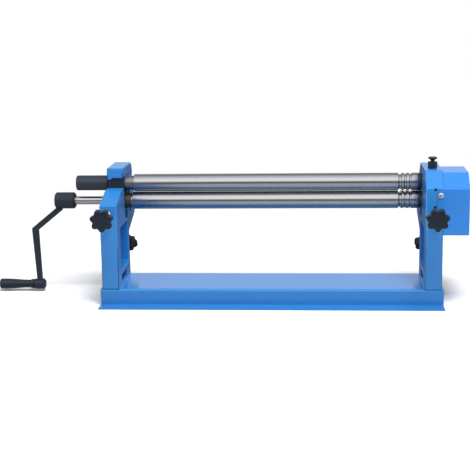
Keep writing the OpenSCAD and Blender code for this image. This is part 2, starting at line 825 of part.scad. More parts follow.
module release_cap() {
    x0 = -outer_x;
    x1 = -inner_x;
    color(blue) difference() {
        intersection() {
            // side view
            side_plate(x0, x1) {
                round_box(cap_nose_y, cap_pin_z - 2 * cap_edge_r, cap_pin_y, cap_top_z, cap_edge_r);
                translate([cap_pin_y - over, cap_pin_z])
                    square([over, cap_rear_r]);
                translate([cap_pin_y, cap_pin_z]) circle(cap_rear_r);
            }
            // front view
            front_plate(cap_nose_y - over, cap_pin_y + cap_rear_r + over)
                round_box(x0, cap_pin_z - 2 * cap_rear_r, x1, cap_top_z, cap_edge_r);
            // plan
            translate([0, 0, cap_pin_z - 2 * cap_rear_r]) linear_extrude(4 * cap_rear_r)
                round_box(x0, cap_nose_y, x1, cap_pin_y + cap_rear_r, cap_edge_r);
        }
        // flat underside, with a lip at the outer end
        side_plate(x0 - over, x1 + over)
            translate([cap_nose_y - over, cap_pin_z - cap_under])
                square([cap_pin_y - cap_nose_y - cap_rear_r * 0.75 + over, cap_under - saddle_step]);
        side_plate(x0 + saddle_step_len, x1 + over)
            translate([cap_nose_y - over, cap_pin_z - cap_under])
                square([saddle_wall_y - cap_nose_y + 2 * over, cap_under]);
        side_plate(x0 - over, x1 + over)
            translate([axis_y + saddle_half, cap_pin_z - cap_under])
                square([saddle_wall + 2 * over, cap_under]);
        // room for the journal under the lip
        translate([0, axis_y, upper_z])
            rod_x(x0 - over, x0 + saddle_step_len + over, left_journal_r + cap_relief);
        // room for the tongue
        side_plate(tongue_x0 - tongue_clear, tongue_x0 + tongue_w + tongue_clear) {
            translate([cap_pin_y, cap_pin_z]) circle(tongue_r + 2 * tongue_clear);
            translate([cap_pin_y, cap_pin_z - 2 * cap_rear_r])
                square([2 * cap_rear_r, 4 * cap_rear_r]);
            translate([cap_pin_y - tongue_r - 2 * tongue_clear, cap_pin_z - 2 * cap_rear_r])
                square([2 * cap_rear_r, 2 * cap_rear_r]);
        }
        translate([0, cap_pin_y, cap_pin_z])
            rod_x(x0 - over, x1 + over, cap_pin_d / 2 + run_clear);
    }
}

module cap_hinge_pin() {
    color(steel) translate([0, cap_pin_y, cap_pin_z])
        rod_x(-outer_x + cap_pin_in, -inner_x - cap_pin_in, cap_pin_d / 2);
}

// Working part of a roll along X from x0, with its wire grooves
module roll_barrel(x0) {
    wires = [wire_d_a, wire_d_b, wire_d_c];
    difference() {
        rotate([0, 90, 0]) rotate_extrude() polygon([
            [0, x0], [roll_r - roll_chamfer, x0], [roll_r, x0 + roll_chamfer],
            [roll_r, roll_x1 - roll_chamfer], [roll_r - roll_chamfer, roll_x1], [0, roll_x1]
        ]);
        for (i = [0 : len(wires) - 1])
            translate([roll_x1 - groove_end - (len(wires) - 1 - i) * groove_pitch, 0, 0])
                rotate([0, 90, 0]) rotate_extrude()
                    translate([roll_r + pinch_gap / 2, 0]) circle(d = wires[i]);
    }
}

// Cuts for the key and the circlip at the geared end of a roll
module gear_seat_cuts() {
    translate([gear_x0, -key_side / 2, journal_r - key_side / 2])
        cube([gear_w, key_side, key_side]);
    difference() {
        rod_x(gear_x1, gear_x1 + circlip_t, journal_r + over);
        rod_x(gear_x1 - over, gear_x1 + circlip_t + over, journal_r - circlip_groove);
    }
}

module upper_roll() {
    color(steel) translate([0, axis_y, upper_z]) difference() {
        union() {
            roll_barrel(upper_x0);
            rod_x(sleeve_x0 + sleeve_end, -outer_x, core_r);
            rod_x(-outer_x - sleeve_ease, -inner_x + bush_gap + over, left_journal_r);
            rod_x(-inner_x + bush_gap, upper_x0 + over, left_journal_r + shoulder_step);
            rod_x(roll_x1 - over, shaft_end_x, journal_r);
        }
        gear_seat_cuts();
    }
}

module upper_roll_grip() {
    r = grip_d / 2;
    color(dark) translate([0, axis_y, upper_z]) difference() {
        rotate([0, 90, 0]) rotate_extrude() polygon([
            [0, sleeve_x0], [r - sleeve_chamfer, sleeve_x0], [r, sleeve_x0 + sleeve_chamfer],
            [r, sleeve_x1 - sleeve_ease], [r - sleeve_ease, sleeve_x1], [0, sleeve_x1]
        ]);
        rod_x(sleeve_x0 + sleeve_end, sleeve_x1 + over, core_r);
    }
}

module upper_left_block() {
    x0 = -outer_x + block_margin;
    x1 = -inner_x - block_margin;
    color(dark) difference() {
        side_plate(x0, x1)
            round_box(axis_y - saddle_half, saddle_floor_z + seat_clear,
                      axis_y + saddle_half, saddle_top_z, block_margin);
        translate([0, axis_y, upper_z])
            rod_x(x0 - over, x1 + over, left_journal_r + run_clear);
        translate([x0 - over, axis_y - saddle_half - over, saddle_top_z - saddle_step])
            cube([saddle_step_len + over, 2 * (saddle_half + over), saddle_step + over]);
    }
}

module upper_right_ball() {
    color(steel) translate([ball_x, axis_y, upper_z]) difference() {
        intersection() {
            sphere(ball_r);
            rod_x(-ball_w / 2, ball_w / 2, 2 * ball_r);
        }
        rod_x(-ball_w, ball_w, journal_r + run_clear);
    }
}

module upper_right_race() {
    color(zinc) difference() {
        translate([0, axis_y, upper_z]) rod_x(race_x0, race_x0 + race_w, race_r);
        translate([ball_x, axis_y, upper_z]) sphere(ball_r + run_clear);
        translate([rod_x, 0, rod_z])
            rod_y(axis_y - 2 * race_r, axis_y - race_r + rod_tip_in, rod_r);
    }
}

module race_locating_rod() {
    color(zinc) difference() {
        translate([rod_x, 0, rod_z])
            rod_y(rod_front_y, axis_y - race_r + rod_tip_in - run_clear, rod_r - run_clear);
        translate([rod_x - 2 * rod_r, plunger_y - rod_notch_len / 2, rod_z + rod_r - rod_notch])
            cube([4 * rod_r, rod_notch_len, 2 * rod_r]);
    }
}

// Black collar on a journal beside the right frame
module thrust_collar() {
    color(dark) difference() {
        rod_x(roll_x1 + slide_clear, roll_x1 + slide_clear + collar_t, roll_r - collar_step);
        rod_x(roll_x1 - over, roll_x1 + collar_t + 2 * over, journal_r);
    }
}

module upper_collar() {
    translate([0, axis_y, upper_z]) thrust_collar();
}

// Spur gear outline about the origin, its first tooth on the first axis
module gear_outline() {
    base_r = gear_r * cos(pressure);
    tip_r = gear_r + tooth_up;
    root_r = gear_r - tooth_down;
    // half the angle of a tooth at the pitch circle, and the involute's own turn there
    half = 90 / gear_teeth - tooth_thin / 2 / gear_r * 180 / PI;
    lead = unwind(base_r, gear_r) - pressure;
    steps = 5;
    flank = [for (i = [0 : steps])
        turned(involute(base_r, unwind(base_r, tip_r) * i / steps), -half - lead)];
    tooth = concat(
        [turned([root_r, 0], -half - lead)],
        flank,
        [for (i = [steps : -1 : 0]) [flank[i][0], -flank[i][1]]],
        [turned([root_r, 0], half + lead)]);
    polygon([for (k = [0 : gear_teeth - 1], p = tooth) turned(p, k * 360 / gear_teeth)]);
}

// Gear with hub, bore and keyway along X, turned by an angle
module roll_gear(turn) {
    difference() {
        union() {
            side_plate(gear_x0, gear_x1) rotate(turn) gear_outline();
            rod_x(gear_x0 - gear_hub_len, gear_x0 + over, gear_hub_d / 2);
        }
        rod_x(gear_x0 - gear_hub_len - over, gear_x1 + over, journal_r);
        translate([gear_x0, -key_side / 2, 0]) cube([gear_w + over, key_side, journal_r + key_side / 2]);
    }
}

// Square key half sunk in a journal
module gear_key() {
    translate([gear_x0, -key_side / 2, journal_r - key_side / 2])
        cube([gear_w, key_side, key_side]);
}

// Open ring in a journal's groove
module circlip() {
    difference() {
        rod_x(gear_x1, gear_x1 + circlip_t, circlip_r);
        rod_x(gear_x1 - over, gear_x1 + circlip_t + over, journal_r - circlip_groove);
        translate([gear_x1 - over, -journal_r / 4, -2 * circlip_r])
            cube([circlip_t + 2 * over, journal_r / 2, 2 * circlip_r]);
    }
}

module upper_gear() {
    // half a tooth on from the lower gear, so a gap faces its tooth
    color(zinc) translate([0, axis_y, upper_z])
        roll_gear(-90 + 180 / gear_teeth);
}

module upper_gear_key() {
    color(steel) translate([0, axis_y, upper_z]) gear_key();
}

module upper_circlip() {
    color(dark) translate([0, axis_y, upper_z]) circlip();
}

module lower_roll() {
    neck_r = bush_d / 2 + lower_neck_step;
    color(steel) translate([0, axis_y, lower_z]) difference() {
        union() {
            roll_barrel(roll_x0);
            rod_x(crank_hub_x0 + crank_wall + bush_gap, roll_x0 + over, journal_r);
            rod_x(roll_x0 - lower_neck_len + bush_gap, roll_x0 + over, neck_r);
            rod_x(roll_x1 - over, shaft_end_x, journal_r);
        }
        gear_seat_cuts();
    }
}

// Bearing block of the lower roll, on the right, with a notch for the wedge pin
module lower_block() {
    notch_rear_y = wedge_tip_y + wedge_travel + block_margin;
    notch_half = pin_r + 2 * slide_clear;
    low = lower_z - block_down;
    roof_front = front_screw_z + wedge_tip_up + run_clear + wedge_slope * (wedge_tip_y - slot_front_y);
    roof_rear = roof_front - wedge_slope * (notch_rear_y - slot_front_y);
    difference() {
        side_plate(block_x0, block_x1)
            translate([axis_y - block_half, low])
                square([2 * block_half, block_down + block_up]);
        translate([0, axis_y, lower_z]) rod_x(inner_x, outer_x, bush_d / 2);
        side_plate(frame_mid_x - notch_half, frame_mid_x + notch_half) polygon([
            [slot_front_y, low - over], [slot_front_y, roof_front],
            [notch_rear_y, roof_rear], [notch_rear_y, low - over]
        ]);
    }
}

module lower_left_block() {
    color(zinc) mirror([1, 0, 0]) lower_block();
}

module lower_right_block() {
    color(zinc) lower_block();
}

module lower_left_bush() {
    color(bronze) translate([0, axis_y, lower_z]) difference() {
        union() {
            rod_x(-block_x1, -inner_x + bush_gap + over, bush_d / 2);
            rod_x(-inner_x + bush_gap, -inner_x + bush_gap + bush_flange_t, bush_flange_d / 2);
        }
        rod_x(-outer_x, -inner_x + bush_flange_t + 2 * over, journal_r + run_clear);
    }
}

module lower_right_bush() {
    color(bronze) translate([0, axis_y, lower_z]) difference() {
        rod_x(block_x0, block_x1, bush_d / 2);
        rod_x(inner_x, outer_x, journal_r + run_clear);
    }
}

module lower_collar() {
    translate([0, axis_y, lower_z]) thrust_collar();
}

module lower_gear() {
    color(zinc) translate([0, axis_y, lower_z]) roll_gear(90);
}

module lower_gear_key() {
    color(steel) translate([0, axis_y, lower_z]) gear_key();
}

module lower_circlip() {
    color(dark) translate([0, axis_y, lower_z]) circlip();
}

module crank_arm() {
    hub_r = crank_hub_d / 2;
    arm_r = crank_arm_t / 2;
    boss_r = crank_boss_d / 2;
    color(dark) difference() {
        union() {
            translate([0, axis_y, lower_z]) rotate([0, 90, 0]) rotate_extrude() polygon([
                [0, crank_hub_x0], [hub_r - crank_chamfer, crank_hub_x0],
                [hub_r, crank_hub_x0 + crank_chamfer], [hub_r, crank_hub_x1 - crank_chamfer],
                [hub_r - crank_chamfer, crank_hub_x1], [0, crank_hub_x1]
            ]);
            front_plate(axis_y - crank_arm_w / 2, axis_y + crank_arm_w / 2) {
                round_bar([arm_root_x, lower_z - hub_r * 0.6], [arm_root_x, lower_z - hub_r - over],
                          arm_r, arm_r);
                round_bar([arm_root_x, lower_z - hub_r - over], [elbow_x, elbow_z], arm_r, arm_r);
                round_bar([elbow_x, elbow_z], [(boss_x0 + boss_x1) / 2, handle_z], arm_r,
                          crank_arm_tip_t / 2);
            }
            translate([0, axis_y, handle_z]) rotate([0, 90, 0]) rotate_extrude() polygon([
                [0, boss_x0], [boss_r, boss_x0], [boss_r, boss_x1 - crank_chamfer],
                [boss_r - crank_chamfer, boss_x1], [0, boss_x1]
            ]);
        }
        translate([0, axis_y, lower_z])
            rod_x(crank_hub_x0 + crank_wall, crank_hub_x1 + over, journal_r);
        translate([0, axis_y, handle_z])
            rod_x(boss_x0 - over, boss_x1 - crank_wall, spindle_d / 2);
        translate([(crank_hub_x0 + crank_hub_x1) / 2, axis_y, lower_z])
            rod_y(journal_r / 2, hub_r + over, small_hole_d / 2);
    }
}

module crank_set_screw() {
    color(zinc) translate([(crank_hub_x0 + crank_hub_x1) / 2, axis_y, lower_z]) difference() {
        rod_y(journal_r, crank_hub_d / 2 - set_screw_sink, small_hole_d / 2);
        translate([0, crank_hub_d / 2 - set_screw_sink - set_screw_hex, 0]) rotate([-90, 0, 0])
            cylinder(r = hex_r(small_hole_d / 2), h = set_screw_hex + over, $fn = 6);
    }
}

module crank_spindle() {
    head_x0 = handle_x0 + spindle_sink;
    color(zinc) translate([0, axis_y, handle_z]) difference() {
        union() {
            rod_x(head_x0, boss_x1 - crank_wall, spindle_d / 2);
            rod_x(head_x0, head_x0 + spindle_head_t, spindle_head_r);
        }
        translate([head_x0 - over, 0, 0]) rotate([0, 90, 0])
            cylinder(r = hex_r(spindle_d * 0.6), h = over + spindle_head_t / 2, $fn = 6);
    }
}

module crank_grip() {
    r = handle_d / 2;
    waist = handle_waist_d / 2;
    collar = waist + handle_rim;
    flare_x = handle_x1 - handle_flare;
    color(dark) translate([0, axis_y, handle_z]) difference() {
        rotate([0, 90, 0]) rotate_extrude() polygon([
            [0, handle_x0], [r - handle_round, handle_x0],
            [r - handle_round / 3, handle_x0 + handle_round / 3], [r, handle_x0 + handle_round],
            [r, handle_x0 + handle_len / 6], [waist + 0.6 * (r - waist), handle_x0 + handle_len / 2],
            [waist, flare_x - handle_round], [waist, flare_x], [collar, flare_x + handle_rim],
            [collar, handle_x1 - handle_rim], [waist, handle_x1], [0, handle_x1]
        ]);
        rod_x(handle_x0 - over, handle_x1 + over, spindle_d / 2 + run_clear);
        rod_x(handle_x0 - over, handle_x0 + spindle_sink + spindle_head_t + slide_clear,
              spindle_head_r + 2 * slide_clear);
    }
}

// Star knob about Z: its neck starts at z = 0 and its head ends the knob
module star_knob() {
    lobe_r = knob_d * 0.092;
    ring_r = knob_d / 2 - lobe_r;
    scoop_r = knob_d * 0.11;
    body_r = knob_d * 0.40;
    top = knob_neck_len + knob_t;
    step = 360 / knob_lobes;
    difference() {
        union() {
            intersection() {
                translate([0, 0, knob_neck_len]) linear_extrude(knob_t) {
                    difference() {
                        circle(body_r + lobe_r / 2);
                        for (i = [0 : knob_lobes - 1]) rotate((i + 0.5) * step)
                            translate([body_r + scoop_r * 0.82, 0]) circle(scoop_r);
                    }
                    for (i = [0 : knob_lobes - 1]) rotate(i * step)
                        translate([ring_r, 0]) circle(lobe_r);
                }
                // crown and eased edges
                rotate_extrude() polygon([
                    [0, knob_neck_len], [knob_d / 2 - knob_ease, knob_neck_len],
                    [knob_d / 2, knob_neck_len + knob_ease], [knob_d / 2, top - knob_crown - knob_ease],
                    [knob_d / 2 - knob_ease, top - knob_crown], [knob_d * 0.3, top - knob_crown / 3],
                    [knob_d * 0.2, top], [0, top]
                ]);
            }
            cylinder(d = knob_neck_d, h = knob_neck_len + over);
        }
        translate([0, 0, -over]) cylinder(d = screw_d, h = knob_neck_len + knob_t / 2 + over);
    }
}

// Moves a knob or screw onto the front screw of the right frame, pointing forwards
module on_front_line(x) {
    translate([x, front_neck_y, front_screw_z])
        rotate([90, 0, 0]) children();
}

// Screw along Z: its threaded end is inside the knob, its nose far behind
module front_screw() {
    reach = wedge_rear_y - front_neck_y;
    color(zinc) {
        translate([0, 0, -reach + seat_clear])
            cylinder(d = screw_d, h = reach - seat_clear + knob_neck_len + knob_t / 2);
        translate([0, 0, -reach - nose_len + nose_seat]) cylinder(r = nose_r, h = nose_len);
    }
}

// Pin that slides in the frame's front hole, with a sloping flat under the block
module wedge_pin() {
    flat_len = wedge_travel + wedge_flat_over + wedge_tip_in;
    color(zinc) difference() {
        translate([frame_mid_x, 0, front_screw_z]) rod_y(wedge_rear_y, wedge_tip_y, pin_r);
        side_plate(inner_x, outer_x) polygon([
            [wedge_tip_y + over, front_screw_z + wedge_tip_up - wedge_slope * over],
            [wedge_tip_y - flat_len, front_screw_z + wedge_tip_up + wedge_slope * flat_len],
            [wedge_tip_y - flat_len, front_screw_z + 2 * pin_r],
            [wedge_tip_y + over, front_screw_z + 2 * pin_r]
        ]);
        translate([frame_mid_x, 0, front_screw_z])
            rod_y(wedge_rear_y - over, wedge_rear_y + nose_len, nose_r + run_clear);
    }
}

module left_wedge_pin() {
    mirror([1, 0, 0]) wedge_pin();
}

module right_wedge_pin() {
    wedge_pin();
}

module left_front_screw() {
    on_front_line(-frame_mid_x) front_screw();
}

module right_front_screw() {
    on_front_line(frame_mid_x) front_screw();
}

module left_front_knob() {
    color(dark) on_front_line(-frame_mid_x) rotate(-90) star_knob();
}

module right_front_knob() {
    color(dark) on_front_line(frame_mid_x) rotate(-38) star_knob();
}

module rear_roll() {
    neck_r = rear_bush_d / 2;
    color(steel) translate([0, rear_y, rear_z]) {
        roll_barrel(roll_x0);
        rod_x(-block_x1, roll_x0 + over, journal_r);
        rod_x(roll_x1 - over, block_x1, journal_r);
        rod_x(-inner_x + block_margin, roll_x0 + over, neck_r);
        rod_x(roll_x1 - over, inner_x - block_margin, neck_r);
    }
}

// Round bush of the rear roll, on the right
module rear_bush() {
    color(bronze) difference() {
        translate([0, rear_y, rear_z]) rod_x(block_x0, block_x1, rear_bush_d / 2);
        translate([0, rear_y, rear_z]) rod_x(inner_x, outer_x, journal_r + run_clear);
        on_rear_line(frame_mid_x) translate([0, 0, journal_r + nose_seat])
            cylinder(r = nose_r + run_clear, h = rear_bush_d);
    }
}

module left_rear_bush() {
    mirror([1, 0, 0]) rear_bush();
}

module right_rear_bush() {
    rear_bush();
}

// Screw of the rear roll, along its leaning line
module rear_screw() {
    color(zinc) {
        translate([0, 0, rear_screw_start])
            cylinder(d = screw_d, h = rear_neck_out + knob_neck_len + knob_t / 2 - rear_screw_start);
        translate([0, 0, journal_r + nose_seat + seat_clear])
            cylinder(r = nose_r, h = rear_screw_start - journal_r);
    }
}

module left_rear_screw() {
    on_rear_line(-frame_mid_x) rear_screw();
}

module right_rear_screw() {
    on_rear_line(frame_mid_x) rear_screw();
}

module left_rear_knob() {
    color(dark) on_rear_line(-frame_mid_x)
        translate([0, 0, rear_neck_out]) star_knob();
}

module right_rear_knob() {
    color(dark) on_rear_line(frame_mid_x)
        translate([0, 0, rear_neck_out]) rotate(5) star_knob();
}

// Moves the plunger's pieces to their place on the right frame
module on_plunger() {
    translate([frame_mid_x, plunger_y, 0]) children();
}

module plunger_body() {
    head_z = right_top_z + plunger_nut_h;
    color(dark) on_plunger() difference() {
        union() {
            translate([0, 0, head_z])
                cylinder(r = hex_r(plunger_flats), h = plunger_head_h, $fn = 6);
            translate([0, 0, right_top_z - shank_len])
                cylinder(d = plunger_shank_d, h = shank_len + plunger_nut_h + over);
        }
        translate([0, 0, right_top_z - shank_len - over])
            cylinder(r = cavity_r, h = cavity_top_z - right_top_z + shank_len + over);
        translate([0, 0, cavity_top_z - over])
            cylinder(r = plunger_pin_d / 2 + run_clear, h = neck_top_z - cavity_top_z + 2 * over);
    }
}

module plunger_locknut() {
    color(zinc) on_plunger() translate([0, 0, right_top_z]) difference() {
        cylinder(r = hex_r(plunger_flats), h = plunger_nut_h, $fn = 6);
        translate([0, 0, -over]) cylinder(d = plunger_shank_d, h = plunger_nut_h + 2 * over);
    }
}

module plunger_pin() {
    tip_z = rod_z + rod_r - rod_notch + seat_clear;
    color(steel) on_plunger() {
        translate([0, 0, tip_z])
            cylinder(d = plunger_pin_d, h = neck_top_z + plunger_rise + plunger_knob_t / 2 - tip_z);
        translate([0, 0, shoulder_z]) cylinder(r = shoulder_r, h = shoulder_t);
    }
}

module plunger_knob() {
    z0 = neck_top_z + seat_clear;
    z1 = neck_top_z + plunger_rise;
    r = plunger_knob_d / 2;
    color(dark) on_plunger() difference() {
        rotate_extrude() polygon([
            [0, z0], [r * 0.42, z0], [r * 0.42, z1 - plunger_knob_rim],
            [r - plunger_knob_rim, z1 + plunger_knob_t * 0.4], [r, z1 + plunger_knob_t * 0.5],
            [r - plunger_knob_rim, z1 + plunger_knob_t * 0.85],
            [r * 0.6, z1 + plunger_knob_t], [0, z1 + plunger_knob_t]
        ]);
        translate([0, 0, z0 - over])
            cylinder(d = plunger_pin_d, h = over + plunger_rise - seat_clear + plunger_knob_t / 2);
    }
}

// Tube that follows a list of points, closed at both ends
module swept_tube(points, r, sides) {
    n = len(points);
    ring = [for (i = [0 : n - 1])
        let (
            a = points[max(i - 1, 0)],
            b = points[min(i + 1, n - 1)],
            along = (b - a) / norm(b - a),
            side = cross(along, [0, 0, 1]) / norm(cross(along, [0, 0, 1])),
            up = cross(side, along)
        )
        for (k = [0 : sides - 1])
            points[i] + r * (cos(360 * k / sides) * side + sin(360 * k / sides) * up)];
    walls = [for (i = [0 : n - 2], k = [0 : sides - 1])
        let (a = i * sides + k, b = i * sides + (k + 1) % sides)
        each [[a, b, a + sides], [b, b + sides, a + sides]]];
    polyhedron(points = ring, faces = concat(
        walls,
        [for (k = [1 : sides - 2]) [0, k + 1, k]],
        [for (k = [1 : sides - 2]) [(n - 1) * sides, (n - 1) * sides + k, (n - 1) * sides + k + 1]]
    ), convexity = 10);
}

module plunger_spring() {
    wire_r = spring_wire_d / 2;
    low = shoulder_z + shoulder_t + wire_r + slide_clear;
    high = cavity_top_z - wire_r - slide_clear;
    coil_r = (plunger_pin_d / 2 + cavity_r) / 2;
    steps = 8;
    points = [for (i = [0 : spring_turns * steps])
        [coil_r * cos(360 * i / steps), coil_r * sin(360 * i / steps),
         low + (high - low) * i / spring_turns / steps]];
    color(steel) on_plunger() swept_tube(points, wire_r, 6);
}

base_channel();
left_frame();
right_frame();
frame_bolts();
frame_washers();
gear_cover();
cover_screws();
release_cap();
cap_hinge_pin();
upper_roll();
upper_roll_grip();
upper_left_block();
upper_right_ball();
upper_right_race();
race_locating_rod();
upper_collar();
upper_gear();
upper_gear_key();
upper_circlip();
lower_roll();
lower_left_block();
lower_right_block();
lower_left_bush();
lower_right_bush();
lower_collar();
lower_gear();
lower_gear_key();
lower_circlip();
crank_arm();
crank_set_screw();
crank_spindle();
crank_grip();
left_wedge_pin();
right_wedge_pin();
left_front_screw();
right_front_screw();
left_front_knob();
right_front_knob();
rear_roll();
left_rear_bush();
right_rear_bush();
left_rear_screw();
right_rear_screw();
left_rear_knob();
right_rear_knob();
plunger_body();
plunger_locknut();
plunger_pin();
plunger_knob();
plunger_spring();
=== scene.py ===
"""Looks of a hand-cranked bench slip roll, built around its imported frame.

Every piece is made in metres in the row's frame: +X to the gear end, +Y away from the operator and
+Z up. Turned parts are lathed, castings and folded sheet take eased edges from their solids, and
screw threads, star knobs and the coil spring grow from Geometry Nodes trees.
"""

import json
import logging
import math
from dataclasses import dataclass, field
from enum import Enum

import bmesh
import bpy
from mathutils import Matrix, Vector


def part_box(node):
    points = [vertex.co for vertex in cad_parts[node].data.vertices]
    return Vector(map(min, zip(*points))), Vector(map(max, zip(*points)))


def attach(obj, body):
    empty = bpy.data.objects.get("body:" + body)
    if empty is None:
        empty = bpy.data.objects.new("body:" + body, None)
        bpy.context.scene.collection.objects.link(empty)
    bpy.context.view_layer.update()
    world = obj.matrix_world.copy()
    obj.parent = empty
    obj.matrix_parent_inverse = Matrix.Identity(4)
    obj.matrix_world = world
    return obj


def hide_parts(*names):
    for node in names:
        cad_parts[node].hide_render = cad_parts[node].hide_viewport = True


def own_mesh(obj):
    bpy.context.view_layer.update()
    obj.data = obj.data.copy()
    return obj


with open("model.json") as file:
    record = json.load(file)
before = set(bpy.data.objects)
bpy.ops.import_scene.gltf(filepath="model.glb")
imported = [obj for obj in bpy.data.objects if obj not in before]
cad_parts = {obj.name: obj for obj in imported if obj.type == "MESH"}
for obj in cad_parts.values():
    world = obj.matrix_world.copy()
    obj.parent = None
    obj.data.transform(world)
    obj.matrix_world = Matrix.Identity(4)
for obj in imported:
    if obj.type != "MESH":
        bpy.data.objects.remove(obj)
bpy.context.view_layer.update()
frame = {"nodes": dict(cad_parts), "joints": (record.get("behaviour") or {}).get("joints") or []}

LOG = logging.getLogger("slip_roll")
MM = 0.001
IMAGE_SIDE = 470
WHITE = (1.0, 1.0, 1.0, 1.0)
FULL_TURN = 2 * math.pi
QUARTER_TURN = 0.25
COOL = 1.02
SHARP_ANGLE = math.radians(32)
FLAT_ANGLE = math.radians(0.6)
WELD = 0.002 * MM
SEAM_WELD = 0.001 * MM
NOISE_DETAIL = 3.0
NOISE_LOW = 0.3
NOISE_HIGH = 0.7
SMOOTHEST = 0.02

Point2 = tuple[float, float]
Colour = tuple[float, float, float]


class Finish(Enum):
    """The finishes of the machine, each named as its material slot in the record."""

    CAST_PAINT = "blue_casting"
    SHEET_PAINT = "blue_sheet"
    COVER_PAINT = "bright_blue_sheet"
    GROUND_STEEL = "ground_steel"
    ZINC = "zinc_steel"
    GEAR_STEEL = "gear_steel"
    BLACK_STEEL = "black_steel"
    BLACK_IRON = "black_iron"
    RUBBER = "black_grip"
    PLASTIC = "black_plastic"
    BRONZE = "bronze"


class Wiring:
    """Adds nodes to a tree and wires them together."""

    def __init__(self, group: bpy.types.NodeTree) -> None:
        """Starts on the tree that the nodes go into."""
        self.group = group

    def feed(self, socket: bpy.types.NodeSocket, what: object) -> None:
        """Links a socket to another, or sets its value."""
        if isinstance(what, bpy.types.NodeSocket):
            self.group.links.new(what, socket)
        else:
            socket.default_value = what

    def wire(self, node: bpy.types.Node, **inputs: object) -> bpy.types.Node:
        """Wires or sets inputs of a node.

        Args:
            node: the node.
            inputs: socket names, with underscores for spaces, and what goes into them.

        Returns:
            The same node.
        """
        for key, what in inputs.items():
            self.feed(node.inputs[key.replace("_", " ")], what)
        return node

    def add(self, kind: str, **inputs: object) -> bpy.types.Node:
        """Adds a node of a kind, with its inputs wired or set."""
        return self.wire(self.group.nodes.new(kind), **inputs)

    def math(self, operation: str, *terms: object) -> bpy.types.NodeSocket:
        """Adds a sum of one, two or three terms.

        Args:
            operation: name of the Math node's operation.
            terms: sockets or numbers.

        Returns:
            The result's socket.
        """
        node = self.add("ShaderNodeMath")
        node.operation = operation
        for place, term in enumerate(terms):
            self.feed(node.inputs[place], term)
        return node.outputs[0]

    def mix(
        self, share: bpy.types.NodeSocket, first: bpy.types.Node, second: bpy.types.Node
    ) -> bpy.types.Node:
        """Adds a mix of two shaders.

        Args:
            share: how much of the second shader there is.
            first: the shader at 0.
            second: the shader at 1.

        Returns:
            The new node.
        """
        node = self.add("ShaderNodeMixShader", Fac=share)
        self.feed(node.inputs[1], first.outputs[0])
        self.feed(node.inputs[2], second.outputs[0])
        return node

    def grey_ramp(
        self, value: bpy.types.NodeSocket, stops: tuple[Point2, ...]
    ) -> bpy.types.NodeSocket:
        """Turns a value into a pale or dark grey, by straight lines between stops.

        Args:
            value: the value.
            stops: values and their levels, in rising order.

        Returns:
            The colour's socket.
        """
        low, high = stops[0][0], stops[-1][0]
        share = self.add("ShaderNodeMapRange", Value=value, From_Min=low, From_Max=high)
        ramp = self.add("ShaderNodeValToRGB", Fac=share.outputs["Result"])
        elements = ramp.color_ramp.elements
        for number, (at, level) in enumerate(stops):
            spot = (at - low) / (high - low)
            element = elements[number] if number < 2 else elements.new(spot)
            element.position = spot
            element.color = (level, level, level * COOL, 1.0)
        return ramp.outputs["Color"]


@dataclass(frozen=True)
class Grain:
    """Fine relief of a surface.

    Attributes:
        scale: cells per metre of the noise.
        height: depth of the relief, in metres.
        stretch: how much finer the relief is along X, Y and Z.
    """

    scale: float
    height: float
    stretch: tuple[float, float, float] = (1.0, 1.0, 1.0)


@dataclass(frozen=True)
class Surface:
    """One finish as Blender shades it.

    Attributes:
        colour: linear base colour.
        roughness: how matt it is.
        metallic: 1 for bare metal.
        coat: weight of a clear top layer.
        coat_roughness: how matt that layer is.
        grain: its fine relief.
        wear: how far the roughness wanders over the surface.
        sheen: strength of the reflection that isn't metal's, 0.5 for plain paint.
        ground: how far grinding round the X axis draws highlights out along it.
    """

    colour: Colour
    roughness: float
    metallic: float = 0.0
    coat: float = 0.0
    coat_roughness: float = 0.1
    grain: Grain = field(kw_only=True)
    wear: float = 0.0
    sheen: float = 0.5
    ground: float = 0.0

    def material(self, name: str) -> bpy.types.Material:
        """Builds the node tree of this finish.

        Args:
            name: name of the material.

        Returns:
            The new material.
        """
        material = bpy.data.materials.new(name)
        material.use_nodes = True
        wiring = Wiring(material.node_tree)
        shader = wiring.wire(
            material.node_tree.nodes["Principled BSDF"],
            Base_Color=(*self.colour, 1.0),
            Metallic=self.metallic,
            Roughness=self.roughness,
            Coat_Weight=self.coat,
            Coat_Roughness=self.coat_roughness,
            Specular_IOR_Level=self.sheen,
        )
        if self.ground > 0:
            around = wiring.add("ShaderNodeTangent")
            around.direction_type = "RADIAL"
            around.axis = "X"
            wiring.wire(shader, Anisotropic=self.ground, Anisotropic_Rotation=QUARTER_TURN,
                        Tangent=around.outputs["Tangent"])
        place = wiring.add("ShaderNodeTexCoord").outputs["Object"]
        drawn = wiring.add("ShaderNodeMapping", Vector=place, Scale=self.grain.stretch)
        noise = wiring.add("ShaderNodeTexNoise", Vector=drawn.outputs["Vector"],
                           Scale=self.grain.scale, Detail=NOISE_DETAIL).outputs["Fac"]
        bump = wiring.add("ShaderNodeBump", Strength=1.0, Distance=self.grain.height,
                          Height=noise)
        wiring.wire(shader, Normal=bump.outputs["Normal"])
        if self.wear > 0:
            spread = wiring.add(
                "ShaderNodeMapRange", Value=noise, From_Min=NOISE_LOW, From_Max=NOISE_HIGH,
                To_Min=max(SMOOTHEST, self.roughness - self.wear),
                To_Max=self.roughness + self.wear,
            )
            wiring.wire(shader, Roughness=spread.outputs["Result"])
        return material


CAST_SKIN = Grain(scale=420.0, height=0.00004)
SHEET_SKIN = Grain(scale=260.0, height=0.00001)
GRIND_LINES = Grain(scale=60.0, height=0.0000012, stretch=(70.0, 0.5, 0.5))
PLATING = Grain(scale=300.0, height=0.000005)
MOULD_SKIN = Grain(scale=1500.0, height=0.00002)

